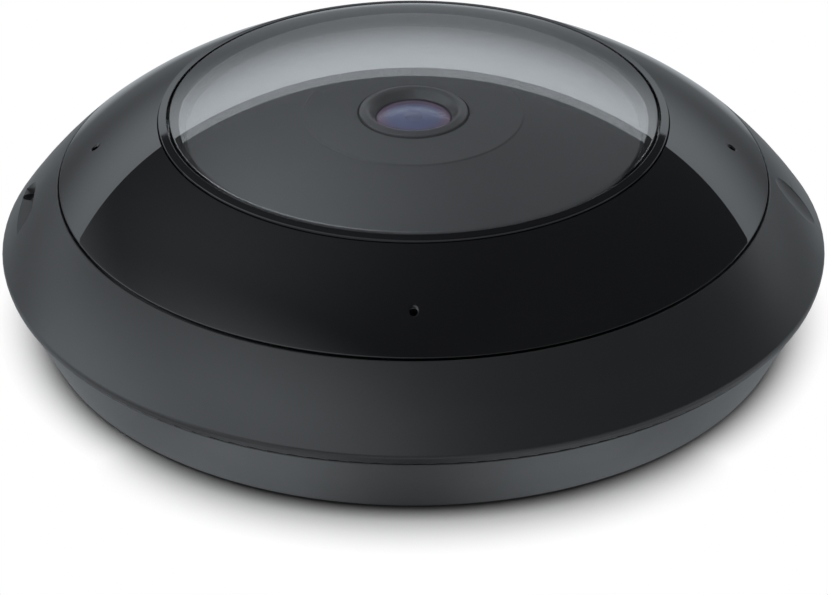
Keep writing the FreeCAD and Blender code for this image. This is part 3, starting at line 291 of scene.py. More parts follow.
@dataclass(frozen=True)
class Finish:
    """A finish that can be built as a material."""

    name: str

    def build(self, effects: Effects) -> Material:
        """Builds the material from the shared effects."""
        raise NotImplementedError

    def start(self, **values) -> tuple[Material, NodeGraph, Node]:
        """Starts a material with one Principled shader, whose sockets are given by name."""
        return new_material(self.name, "ShaderNodeBsdfPrincipled", **values)

    @staticmethod
    def add_grain(graph: NodeGraph, shader: Node, effects: Effects, color: Color, scale: float,
                  depth: float) -> None:
        """Adds the moulded grain to a shader's colour and normal.

        Args:
            graph: the material's graph.
            shader: its Principled shader.
            effects: the shared node groups.
            color: the plain colour.
            scale: how fine the grain is.
            depth: strength of its bump.
        """
        grain = graph.add("ShaderNodeGroup", node_tree=effects.grain, in_Scale=scale)
        graph.link(graph.scaled(color, grain.outputs["Tint"]), shader.inputs["Base Color"])
        if depth > 0:
            bump = graph.add("ShaderNodeBump", in_Height=grain.outputs["Height"], in_Strength=depth,
                             in_Distance=GRAIN_HEIGHT)
            graph.link(bump.outputs[0], shader.inputs["Normal"])

    @staticmethod
    def add_marks(graph: NodeGraph, shader: Node, effects: Effects, clean: float, marked: float) -> None:
        """Adds the wiping marks to a shader's roughness, from clean to marked."""
        marks = graph.add("ShaderNodeGroup", node_tree=effects.smudge, in_Clean=clean, in_Marked=marked)
        graph.link(marks.outputs[0], shader.inputs["Roughness"])


@dataclass(frozen=True)
class MouldedPlastic(Finish):
    """Satin or matt moulded plastic with a fine grain."""

    color: Color
    roughness: float = 0.4
    mark_depth: float = 0.05
    grain_scale: float = 2600.0
    grain_depth: float = 0.02
    ior: float = 1.49

    def build(self, effects: Effects) -> Material:
        """Builds the plastic with grain as height and tint, and marks in its roughness.

        Args:
            effects: the shared node groups.

        Returns:
            The finished material.
        """
        material, graph, shader = self.start(in_IOR=self.ior)
        self.add_grain(graph, shader, effects, self.color, self.grain_scale, self.grain_depth)
        self.add_marks(graph, shader, effects, self.roughness, self.roughness + self.mark_depth)
        return material


@dataclass(frozen=True)
class PolishedPlastic(Finish):
    """Glossy plastic with faint wiping marks and a slight tint, but no raised grain."""

    color: Color
    roughness: float = 0.05
    marked: float = 0.07
    tint_scale: float = 400.0
    ior: float = 1.455

    def build(self, effects: Effects) -> Material:
        """Builds the plastic with marks in its roughness.

        Args:
            effects: the shared node groups.

        Returns:
            The finished material.
        """
        material, graph, shader = self.start(in_IOR=self.ior)
        self.add_grain(graph, shader, effects, self.color, self.tint_scale, 0.0)
        self.add_marks(graph, shader, effects, self.roughness, self.marked)
        return material


@dataclass(frozen=True)
class ClearPlastic(Finish):
    """Clear polished plastic or glass that lets lamplight through to what it covers.

    Its two faces mirror as real ones do, through the coat, but it bends what is seen through it only
    a little.
    """

    color: Color = (1.0, 1.0, 1.0)
    ior: float = 1.01
    gloss: float = 1.0
    gloss_ior: float = 1.85
    roughness: float = 0.0
    mark_depth: float = 0.003
    shadow: float = 0.08

    def build(self, effects: Effects) -> Material:
        """Builds the glass shader, thinned for shadow rays only.

        Args:
            effects: the shared node groups.

        Returns:
            The finished material.
        """
        material, graph, shader = self.start(in_IOR=self.ior, in_Transmission_Weight=1.0,
                                             in_Base_Color=(*self.color, 1.0), in_Coat_Weight=self.gloss,
                                             in_Coat_Roughness=0.0, in_Coat_IOR=self.gloss_ior)
        self.add_marks(graph, shader, effects, self.roughness, self.roughness + self.mark_depth)
        shadow_ray = graph.add("ShaderNodeLightPath").outputs["Is Shadow Ray"]
        alpha = graph.ramp(shadow_ray, 0.0, 1.0, low=1.0, high=self.shadow, smooth=False)
        graph.link(alpha, shader.inputs["Alpha"])
        return material


@dataclass(frozen=True)
class SheenPaintedElement(Finish):
    """Dark coated glass under the front glass, whose base colour paints the coating's reflection as a sheen,
    from the middle colour to the rim colour.
    """

    middle: Color
    rim: Color
    roughness: float = 0.08
    mark_depth: float = 0.02
    ior: float = 1.4

    def build(self, effects: Effects) -> Material:
        """Builds the surface with its painted sheen, a tint from the middle to the rim.

        Args:
            effects: the shared node groups.

        Returns:
            The finished material.
        """
        material, graph, shader = self.start(in_IOR=self.ior)
        coating = graph.add("ShaderNodeGroup", node_tree=effects.coating, in_Middle=(*self.middle, 1.0),
                            in_Rim=(*self.rim, 1.0))
        graph.link(coating.outputs[0], shader.inputs["Base Color"])
        self.add_marks(graph, shader, effects, self.roughness, self.roughness + self.mark_depth)
        return material


@dataclass(frozen=True)
class Metal(Finish):
    """Plain, plated or anodised metal."""

    color: Color
    roughness: float = 0.3
    metallic: float = 1.0
    mark_depth: float = 0.1
    grain_scale: float = 1800.0
    grain_depth: float = 0.03

    def build(self, effects: Effects) -> Material:
        """Builds the metal with a fine grain and marks.

        Args:
            effects: the shared node groups.

        Returns:
            The finished material.
        """
        material, graph, shader = self.start(in_Metallic=self.metallic)
        self.add_grain(graph, shader, effects, self.color, self.grain_scale, self.grain_depth)
        self.add_marks(graph, shader, effects, self.roughness, self.roughness + self.mark_depth)
        return material


FINISHES: tuple[Finish, ...] = (
    MouldedPlastic("plate_plastic", (0.16, 0.16, 0.17), 0.5),
    MouldedPlastic("base_plastic", (0.03, 0.031, 0.033), 0.35),
    MouldedPlastic("cover_plastic", (0.0092, 0.0097, 0.0105), 0.34),
    PolishedPlastic("window_black", (0.0038, 0.0039, 0.0044), 0.008, 0.012),
    PolishedPlastic("bezel_black", (0.003, 0.003, 0.004), 0.05, 0.07),
    ClearPlastic("dome_clear"),
    MouldedPlastic("liner_black", (0.026, 0.027, 0.029), 0.55),
    Metal("lens_black", (0.05, 0.051, 0.054), 0.35, 0.3),
    ClearPlastic("lens_glass", (0.95, 0.96, 1.0), gloss=0.2),
    # Painted reflections: the coated element's bluish middle and reddish rim are painted sheen, and the inner
    # element's lighter bluish colour is a soft painted highlight.
    SheenPaintedElement("lens_coating", (0.085, 0.1, 0.19), (0.12, 0.075, 0.12), 0.2),
    SheenPaintedElement("inner_glass", (0.12, 0.13, 0.21), (0.085, 0.1, 0.19), 0.25),
    MouldedPlastic("inner_plastic", (0.03, 0.03, 0.032), 0.5),
    MouldedPlastic("seal_rubber", (0.012, 0.012, 0.012), 0.7),
    MouldedPlastic("pad_rubber", (0.45, 0.5, 0.55), 0.8),
    MouldedPlastic("board_green", (0.02, 0.16, 0.08), 0.3),
    MouldedPlastic("chip_black", (0.03, 0.03, 0.03), 0.5),
    Metal("microphone_metal", (0.6, 0.58, 0.5), 0.3),
    Metal("contact_gold", (0.8, 0.6, 0.25), 0.25),
    PolishedPlastic("led_clear", (0.75, 0.75, 0.7), 0.1, 0.12),
    Metal("sink_metal", (0.62, 0.63, 0.65), 0.4),
    MouldedPlastic("jack_plastic", (0.03, 0.03, 0.03), 0.3),
    MouldedPlastic("button_plastic", (0.3, 0.3, 0.31), 0.5),
    MouldedPlastic("ribbon_film", (0.8, 0.78, 0.7), 0.4),
    Metal("screw_steel", (0.45, 0.45, 0.46), 0.4),
)


# Sections and turned meshes


def towards(start: Point, end: Point, distance: float) -> Point:
    """Point at a distance from one point, on the line to another."""
    share = distance / math.dist(start, end)
    return (start[0] + (end[0] - start[0]) * share, start[1] + (end[1] - start[1]) * share)


@dataclass(frozen=True)
class Bow:
    """Circular section line of a shell in the (radius, height) plane."""

    centre_radius: float
    centre_height: float
    radius: float

    @classmethod
    def through(cls, foot: Point, head: Point, sag: float) -> "Bow":
        """Line from a low outer point to a high inner one that bulges outwards.

        Args:
            foot: the low outer point.
            head: the high inner point.
            sag: how far the line bulges from its chord.

        Returns:
            The line.
        """
        run, rise = head[0] - foot[0], head[1] - foot[1]
        chord = math.hypot(run, rise)
        radius = (chord * chord / 4 + sag * sag) / (2 * sag)
        reach = radius - sag
        return cls((foot[0] + head[0]) / 2 - reach * rise / chord,
                   (foot[1] + head[1]) / 2 + reach * run / chord, radius)

    @classmethod
    def cap(cls, edge: Point, rise: float) -> "Bow":
        """Line of a spherical cap on a circle about the axis, which rises from a point of the circle."""
        radius = (edge[0] * edge[0] + rise * rise) / (2 * rise)
        return cls(0.0, edge[1] + rise - radius, radius)

    def point(self, at_radius: float, depth: float = 0.0) -> Point:
        """Point of the line, or of one that lies deeper inside, at a radius."""
        inner, offset = self.radius - depth, at_radius - self.centre_radius
        return (at_radius, self.centre_height + math.sqrt(inner * inner - offset * offset))

    def below(self, at_radius: float, depth: float) -> Point:
        """Point at a depth under the line's point at a radius, square to the line.

        Args:
            at_radius: the radius.
            depth: how deep the point lies.

        Returns:
            The point.
        """
        share = (self.radius - depth) / self.radius
        top = self.point(at_radius)
        return (self.centre_radius + (top[0] - self.centre_radius) * share,
                self.centre_height + (top[1] - self.centre_height) * share)

    def normal(self, place: Vector) -> Vector:
        """Outward direction of the turned surface over or under a place.

        Args:
            place: any point over or under the surface.

        Returns:
            A unit vector.
        """
        radius = math.hypot(place.x, place.y)
        offset = (radius - self.centre_radius) / self.radius
        return Vector((offset * place.x / radius, offset * place.y / radius, math.sqrt(1 - offset * offset)))


class Section:
    """Closed section of a turned piece, drawn step by step."""

    def __init__(self, start: Point, rounding: float = 0.0) -> None:
        """Starts the section at a point, with the size of the rounding there."""
        self.points = [start]
        self.roundings = {0: rounding}

    def to(self, *points: Point, rounding: float = 0.0) -> "Section":
        """Adds straight runs.

        Args:
            *points: where the runs end.
            rounding: size of the rounding at the last of them.

        Returns:
            The section itself.
        """
        self.points.extend(points)
        self.roundings[len(self.points) - 1] = rounding
        return self

    def along(self, bow: Bow, end: Point, depth: float = 0.0, steps: int = 24,
              rounding: float = 0.0) -> "Section":
        """Adds a run along a bow.

        Args:
            bow: the line to follow.
            end: where the run ends.
            depth: how much deeper than the bow the run lies.
            steps: number of short runs.
            rounding: size of the rounding at the end.

        Returns:
            The section itself.
        """
        start = self.points[-1][0]
        for step in range(1, steps):
            self.points.append(bow.point(start + (end[0] - start) * step / steps, depth))
        return self.to(end, rounding=rounding)

    def outline(self) -> list[Point]:
        """Lists the points of the section, with the rounded corners as short curves.

        Returns:
            The points, anticlockwise.
        """
        line: list[Point] = []
        for index, corner in enumerate(self.points):
            size = self.roundings.get(index, 0.0)
            if size == 0.0:
                line.append(corner)
                continue
            before = towards(corner, self.points[index - 1], size)
            after = towards(corner, self.points[(index + 1) % len(self.points)], size)
            for step in range(ROUND_STEPS + 1):
                share = step / ROUND_STEPS
                first, middle, last = (1 - share) ** 2, 2 * share * (1 - share), share ** 2
                line.append((first * before[0] + middle * corner[0] + last * after[0],
                             first * before[1] + middle * corner[1] + last * after[1]))
        area = sum(a[0] * b[1] - b[0] * a[1] for a, b in zip(line, line[1:] + line[:1]))
        return line if area > 0 else line[::-1]


class Surface:
    """Vertices, faces and corner normals of a mesh in the making, in millimetres."""

    def __init__(self) -> None:
        """Starts empty."""
        self.vertices: list[Vector] = []
        self.faces: list[list[int]] = []
        self.normals: list[Vector] = []

    def vertex(self, x: float, y: float, z: float) -> int:
        """Adds a vertex and returns its number."""
        self.vertices.append(Vector((x, y, z)))
        return len(self.vertices) - 1

    def face(self, *corners: Corner) -> None:
        """Adds a face from vertex numbers with their normals."""
        self.faces.append([number for number, _ in corners])
        self.normals.extend(normal for _, normal in corners)

    def strip(self, first: list[Corner], second: list[Corner]) -> None:
        """Joins two closed loops of corners by a band of quads.

        Args:
            first: corners of the one loop.
            second: corners of the other, as many.
        """
        for index in range(len(first)):
            following = (index + 1) % len(first)
            self.face(first[index], first[following], second[following], second[index])

    def to_mesh(self, name: str) -> Mesh:
        """Makes the mesh, in metres, with its corner normals.

        Args:
            name: the mesh's name.

        Returns:
            The mesh.
        """
        mesh = bpy.data.meshes.new(name)
        mesh.from_pydata([place * MM for place in self.vertices], [], self.faces)
        mesh.polygons.foreach_set("use_smooth", [True] * len(mesh.polygons))
        mesh.normals_split_custom_set(self.normals)
        return mesh


@dataclass(frozen=True)
class Lathe:
    """Turns sections about the vertical axis into meshes with smooth normals."""

    segments: int = 256
    sharp_angle: float = 30.0

    def mesh(self, name: str, section: Section) -> Mesh:
        """Turns a section into a named mesh."""
        surface, _, _ = self.surface(section.outline(), frozenset())
        return surface.to_mesh(name)

    def surface(self, line: list[Point],
                left_out: frozenset) -> tuple[Surface, list[list[int]], list[Point]]:
        """Turns the points of a section.

        Args:
            line: the points, anticlockwise.
            left_out: (run, segment) pairs whose faces are left out.

        Returns:
            The surface, the vertex numbers of each ring, and the directions round the axis.
        """
        surface = Surface()
        turns = [math.tau * step / self.segments for step in range(self.segments)]
        ways = [(math.cos(turn), math.sin(turn)) for turn in turns]
        rings = [self.ring(surface, point, ways) for point in line]
        starts, ends = self.run_normals(line)
        for index, point in enumerate(line):
            following = (index + 1) % len(line)
            if point[0] < ON_AXIS and line[following][0] < ON_AXIS:
                continue
            for step in range(self.segments):
                if (index, step) not in left_out:
                    self.quad(surface, (rings[index], rings[following]), (starts[index], ends[index]),
                              ways, step)
        return surface, rings, ways

    @staticmethod
    def ring(surface: Surface, point: Point, ways: list[Point]) -> list[int]:
        """Adds the ring of vertices of one point, or its single vertex on the axis.

        Args:
            surface: the surface in the making.
            point: a point of the section.
            ways: directions round the axis.

        Returns:
            The numbers of its vertices.
        """
        if point[0] < ON_AXIS:
            return [surface.vertex(0.0, 0.0, point[1])] * len(ways)
        return [surface.vertex(point[0] * way[0], point[0] * way[1], point[1]) for way in ways]

    @staticmethod
    def quad(surface: Surface, rings: tuple, normals: tuple, ways: list[Point], step: int) -> None:
        """Adds one face between two rings, as a triangle where one of them is a pole.

        Args:
            surface: the surface in the making.
            rings: vertex numbers of the two rings.
            normals: the section's normals at the two rings.
            ways: directions round the axis.
            step: number of the segment.
        """
        following = (step + 1) % len(ways)
        corners = []
        for side, way in ((0, step), (0, following), (1, following), (1, step)):
            number, normal = rings[side][way], normals[side]
            if number not in [corner[0] for corner in corners]:
                direction = Vector((normal[0] * ways[way][0], normal[0] * ways[way][1], normal[1]))
                corners.append((number, direction))
        surface.face(*corners)

    def run_normals(self, line: list[Point]) -> tuple[list[Point], list[Point]]:
        """Finds the normal at both ends of each run, shared across corners that aren't sharp.

        Args:
            line: the points of a section.

        Returns:
            The normals at the starts and at the ends of the runs.
        """
        flats = []
        for here, there in zip(line, line[1:] + line[:1]):
            length = math.dist(here, there)
            flats.append(((there[1] - here[1]) / length, (here[0] - there[0]) / length, length))
        starts = [(flat[0], flat[1]) for flat in flats]
        ends = list(starts)
        limit = math.cos(math.radians(self.sharp_angle))
        for index, point in enumerate(line):
            before, after = flats[index - 1], flats[index]
            if point[0] < ON_AXIS:
                starts[index] = (0.0, math.copysign(1.0, after[1]))
                ends[index - 1] = (0.0, math.copysign(1.0, before[1]))
            elif before[0] * after[0] + before[1] * after[1] > limit:
                across, up = (before[axis] * before[2] + after[axis] * after[2] for axis in (0, 1))
                size = math.hypot(across, up)
                starts[index] = ends[index - 1] = (across / size, up / size)
        return starts, ends


# Copies set by geometry nodes


class Copies:
    """Sets copies of one small piece round a circle, along a row or on given spots."""

    def __init__(self) -> None:
        """Builds the node trees."""
        self.ring_tree = self.build_ring_tree()
        self.row_tree = self.build_row_tree()
        self.spot_tree = self.build_spot_tree()

    @staticmethod
    def start_tree(name: str, *extra: Socket) -> tuple:
        """Starts a tree with the sockets that all three share and some of its own.

        Args:
            name: the tree's name.
            *extra: its own sockets.

        Returns:
            The tree, a graph helper, and its input and output nodes.
        """
        return new_group(name, [
            Socket("Geometry", "NodeSocketGeometry", None, True),
            Socket("Geometry", "NodeSocketGeometry"),
            Socket("Piece", "NodeSocketObject"),
            Socket("Random Turn", "NodeSocketFloat", 0.0),
            Socket("Seed", "NodeSocketInt", 7),
            Socket("Material", "NodeSocketMaterial"),
            *extra,
        ], "GeometryNodeTree")

    @staticmethod
    def finish_tree(graph: NodeGraph, inputs: Node, outputs: Node, points: NodeSocket,
                    outward: bool) -> None:
        """Adds what all three trees end with: copies on points, made real, with their material.

        Args:
            graph: the tree's graph.
            inputs: its input node.
            outputs: its output node.
            points: the points.
            outward: whether each copy's X axis points away from the vertical axis.
        """
        random = graph.add("FunctionNodeRandomValue", data_type="FLOAT", in_2=0.0,
                           in_3=inputs.outputs["Random Turn"], in_8=inputs.outputs["Seed"])
        turn = random.outputs[1]
        if outward:
            position = graph.add("GeometryNodeInputPosition").outputs[0]
            place = graph.add("ShaderNodeSeparateXYZ", in_0=position)
            angle = graph.calculate("ARCTAN2", place.outputs[1], place.outputs[0])
            turn = graph.calculate("ADD", angle, turn)
        euler = graph.add("ShaderNodeCombineXYZ", in_Z=turn)
        rotation = graph.add("FunctionNodeEulerToRotation", in_0=euler.outputs[0])
        source = graph.add("GeometryNodeObjectInfo", in_0=inputs.outputs["Piece"])
        copies = graph.add("GeometryNodeInstanceOnPoints", in_Points=points,
                           in_Instance=source.outputs["Geometry"], in_Rotation=rotation.outputs[0])
        real = graph.add("GeometryNodeRealizeInstances", in_0=copies.outputs[0])
        dressed = graph.add("GeometryNodeSetMaterial", in_Geometry=real.outputs[0],
                            in_Material=inputs.outputs["Material"])
        graph.link(dressed.outputs[0], outputs.inputs["Geometry"])

    def build_ring_tree(self) -> NodeTree:
        """Builds the tree that spaces copies evenly round the vertical axis.

        Returns:
            The tree.
        """
        tree, graph, inputs, outputs = self.start_tree(
            "ring_of_copies",
            Socket("Count", "NodeSocketInt", 4),
            Socket("Radius", "NodeSocketFloat", 0.05),
            Socket("Height", "NodeSocketFloat", 0.0),
            Socket("First Angle", "NodeSocketFloat", 0.0),
        )
        circle = graph.add("GeometryNodeMeshCircle", in_Vertices=inputs.outputs["Count"],
                           in_Radius=inputs.outputs["Radius"])
        lift = graph.add("ShaderNodeCombineXYZ", in_Z=inputs.outputs["Height"])
        turn = graph.add("ShaderNodeCombineXYZ", in_Z=inputs.outputs["First Angle"])
        rotation = graph.add("FunctionNodeEulerToRotation", in_0=turn.outputs[0])
        placed = graph.add("GeometryNodeTransform", in_Geometry=circle.outputs[0],
                           in_Translation=lift.outputs[0], in_Rotation=rotation.outputs[0])
        self.finish_tree(graph, inputs, outputs, placed.outputs[0], True)
        return tree

    def build_row_tree(self) -> NodeTree:
        """Builds the tree that spaces copies evenly along a straight row.

        Returns:
            The tree.
        """
        tree, graph, inputs, outputs = self.start_tree(
            "row_of_copies",
            Socket("Count", "NodeSocketInt", 8),
            Socket("Start", "NodeSocketVector", (0.0, 0.0, 0.0)),
            Socket("Step", "NodeSocketVector", (0.001, 0.0, 0.0)),
        )
        row = graph.add("GeometryNodeMeshLine", in_Count=inputs.outputs["Count"],
                        in_Start_Location=inputs.outputs["Start"], in_Offset=inputs.outputs["Step"])
        self.finish_tree(graph, inputs, outputs, row.outputs[0], False)
        return tree

    def build_spot_tree(self) -> NodeTree:
        """Builds the tree that sets copies on the points of the mesh it is given.

        Returns:
            The tree.
        """
        tree, graph, inputs, outputs = self.start_tree("copies_on_spots")
        self.finish_tree(graph, inputs, outputs, inputs.outputs["Geometry"], True)
        return tree

    @staticmethod
    def run(name: str, tree: NodeTree, source: Mesh, inputs: dict[str, object],
            spots: tuple[tuple, ...] = ()) -> Mesh:
        """Runs one tree and keeps its result as a plain mesh.

        Args:
            name: the result's name.
            tree: the node tree.
            source: mesh of the piece to copy.
            inputs: values of the tree's named inputs.
            spots: points of the host mesh.

        Returns:
            The mesh of all the copies.
        """
        scene = bpy.context.scene.collection
        piece = bpy.data.objects.new(name + "_piece", source)
        host = bpy.data.objects.new(name + "_host", bpy.data.meshes.new(name + "_spots"))
        host.data.from_pydata(spots, [], [])
        scene.objects.link(piece)
        scene.objects.link(host)
        modifier = host.modifiers.new("copies", "NODES")
        modifier.node_group = tree
        values = {"Piece": piece, **inputs}
        for item in tree.interface.items_tree:
            if item.item_type == "SOCKET" and item.in_out == "INPUT" and item.name in values:
                modifier[item.identifier] = values[item.name]
        graph = bpy.context.evaluated_depsgraph_get()
        mesh = bpy.data.meshes.new_from_object(host.evaluated_get(graph))
        mesh.name = name
        host.modifiers.remove(modifier)
        bpy.data.objects.remove(host)
        bpy.data.objects.remove(piece)
        return mesh


# Small source pieces


def polygon_mesh(name: str, bm: bmesh.types.BMesh, smooth_angle: float = 35.0) -> Mesh:
    """Turns a bmesh into a mesh that is smooth but for its sharp edges.

    Args:
        name: the mesh's name.
        bm: the bmesh, in millimetres, which is freed.
        smooth_angle: the angle from which an edge is sharp.

    Returns:
        The mesh, in metres.
    """
    bmesh.ops.recalc_face_normals(bm, faces=bm.faces)
    bmesh.ops.transform(bm, matrix=Matrix.Scale(MM, 4), verts=bm.verts)
    mesh = bpy.data.meshes.new(name)
    bm.to_mesh(mesh)
    bm.free()
    mesh.polygons.foreach_set("use_smooth", [True] * len(mesh.polygons))
    mesh.set_sharp_from_angle(angle=math.radians(smooth_angle))
    return mesh


def add_band(bm: bmesh.types.BMesh, first: list, second: list) -> None:
    """Joins two rings of vertices by a band of quads.

    Args:
        bm: the bmesh.
        first: vertices of the one ring.
        second: vertices of the other, as many.
    """
    for index in range(len(first)):
        following = (index + 1) % len(first)
        bm.faces.new((first[index], first[following], second[following], second[index]))


def chip_mesh(name: str, length: float, width: float, height: float, bevel: float) -> Mesh:
    """Builds a small moulded package with softened edges.

    Args:
        name: the mesh's name.
        length: size along X, in millimetres.
        width: size along Y.
        height: size along Z, from zero upwards.
        bevel: size of the softened edges.

    Returns:
        The mesh.
    """
    bm = bmesh.new()
    bmesh.ops.create_cube(bm, size=1.0)
    place = Matrix.Translation((0.0, 0.0, height / 2)) @ Matrix.Diagonal((length, width, height, 1.0))
    bmesh.ops.transform(bm, matrix=place, verts=bm.verts)
    bmesh.ops.bevel(bm, geom=bm.edges, offset=bevel, segments=3, profile=0.6, affect="EDGES")
    return polygon_mesh(name, bm)


@dataclass(frozen=True)
class ScrewSize:
    """Sizes of a screw with a domed head and a cross recess, in millimetres.

    The shares are parts of the shank's radius, the head's radius or height, or the pitch.
    """

    shank: float
    head: float
    head_height: float
    pitch: float
    tip_share: float = 0.3
    root_share: float = 0.82
    crest_share: float = 0.4
    rim_share: float = 0.5
    flat_share: float = 0.66
    dome_foot: float = 0.55
    dome_steps: int = 6
    recess_arm: float = 0.55
    recess_half: float = 0.13
    recess_depth: float = 0.6
    recess_taper: float = 0.7
    sides: int = 24

    def mesh(self, name: str, length: float, facing: Facing) -> Mesh:
        """Builds the screw with its thread, with its seat at zero.

        Args:
            name: the mesh's name.
            length: length of the shank.
            facing: the way its tip points.

        Returns:
            The mesh.
        """
        bm = bmesh.new()
        flat_radius = self.flat_share * self.head
        line = self.shank_line(length)
        for step in range(self.dome_steps + 1):
            turn = math.radians(90.0 * step / self.dome_steps)
            line.append((flat_radius + (self.head - flat_radius) * math.cos(turn),
                         self.head_height * (self.dome_foot + (1 - self.dome_foot) * math.sin(turn))))
        rings = [self.ring(bm, radius, height) for radius, height in line]
        bm.faces.new(rings[0][::-1])
        for lower, upper in zip(rings, rings[1:]):
            add_band(bm, lower, upper)
        self.add_recess(bm, rings[-1])
        if facing is Facing.UP:
            bmesh.ops.rotate(bm, cent=(0, 0, 0), matrix=Matrix.Rotation(math.pi, 3, "X"), verts=bm.verts)
        return polygon_mesh(name, bm)

    def shank_line(self, length: float) -> list[Point]:
        """Section of the pointed and threaded shank.

        Args:
            length: length of the shank.

        Returns:
            The points, from the tip to the edge of the head.
        """
        root = self.shank * self.root_share
        line = [(self.shank * self.tip_share, -length), (root, -length + self.shank)]
        for turn in range(int((length - 2 * self.shank) / self.pitch)):
            height = -length + self.shank + turn * self.pitch
            line += [(self.shank, height + self.crest_share * self.pitch), (root, height + self.pitch)]
        return line + [(root, 0.0), (self.head, 0.0), (self.head, self.rim_share * self.head_height)]

    def ring(self, bm: bmesh.types.BMesh, radius: float, height: float) -> list[bmesh.types.BMVert]:
        """Adds a ring of vertices."""
        turns = [math.tau * step / self.sides for step in range(self.sides)]
        return [bm.verts.new((radius * math.cos(turn), radius * math.sin(turn), height)) for turn in turns]

    def add_recess(self, bm: bmesh.types.BMesh, rim: list[bmesh.types.BMVert]) -> None:
        """Closes the head's flat top round a tapered cross recess.

        Args:
            bm: the screw.
            rim: the ring round the flat top.
        """
        arm, half = self.recess_arm * self.head, self.recess_half * self.head
        top, taper = rim[0].co.z, self.recess_taper
        bottom = top - self.recess_depth * self.head_height
        outline = []
        for quarter in range(4):
            turn = Matrix.Rotation(math.pi / 2 * quarter, 3, "Z")
            outline += [turn @ Vector(place) for place in ((arm, -half, 0), (arm, half, 0), (half, half, 0))]
        upper = [bm.verts.new((place.x, place.y, top)) for place in outline]
        lower = [bm.verts.new((place.x * taper, place.y * taper, bottom)) for place in outline]
        add_band(bm, upper, lower)
        bm.faces.new(lower)
        loops = [bm.edges.get((ring[index - 1], ring[index])) for ring in (rim, upper)
                 for index in range(len(ring))]
        bmesh.ops.triangle_fill(bm, use_beauty=True, edges=loops)


M3 = ScrewSize(1.2, 2.8, 1.8, 0.5)
M25 = ScrewSize(1.0, 2.2, 1.4, 0.45)
M2 = ScrewSize(0.8, 1.8, 1.2, 0.4)


# Workshop


class Workshop:
    """Holds the tools and finishes, and puts finished pieces into the scene under the camera's body."""

    def __init__(self, materials: dict[str, Material]) -> None:
        """Sets up the tools.

        Args:
            materials: materials by name.
        """
        self.materials = materials
        self.copies = Copies()
        self.lathe = Lathe()
        self.fine_lathe = Lathe(512)

    def add(self, mesh: Mesh, material: str, slot: str | None = None,
            replaces: tuple[str, ...] = ()) -> None:
        """Makes one piece of the camera from a mesh.

        Args:
            mesh: its mesh, which gives its name.
            material: name of its finish.
            slot: the record's material slot, where its name differs from the finish's; not used.
            replaces: nodes that it stands for.
        """
        piece = bpy.data.objects.new(mesh.name, mesh)
        bpy.context.scene.collection.objects.link(piece)
        mesh.materials.clear()
        mesh.materials.append(self.materials[material])
        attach(piece, CAMERA_BODY)
        if replaces:
            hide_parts(*replaces)
        log.info("%s: %d faces", piece.name, len(mesh.polygons))

    def add_ring(self, name: str, source: Mesh, count: int, radius: float, height: float, first: float,
                 material: str, replaces: tuple[str, ...] = ()) -> None:
        """Makes one piece from copies that are spaced evenly round the axis.

        Args:
            name: the piece's name.
            source: mesh of one copy.
            count: number of copies.
            radius: radius of their circle, in millimetres.
            height: height of their feet, in millimetres.
            first: angle of the first copy, in radians.
            material: name of the finish.
            replaces: nodes that the piece stands for.
        """
        mesh = self.copies.run(name, self.copies.ring_tree, source, {
            "Count": count, "Radius": radius * MM, "Height": height * MM, "First Angle": first,
            "Material": self.materials[material]})
        self.add(mesh, material, replaces=replaces)


def low(node: str) -> float:
    """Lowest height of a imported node, in millimetres."""
    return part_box(node)[0].z / MM


def high(node: str) -> float:
    """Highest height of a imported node, in millimetres."""
    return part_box(node)[1].z / MM


def reach(node: str) -> float:
    """Largest radius of a packed round node, in millimetres."""
    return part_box(node)[1].x / MM


# Sub-assemblies


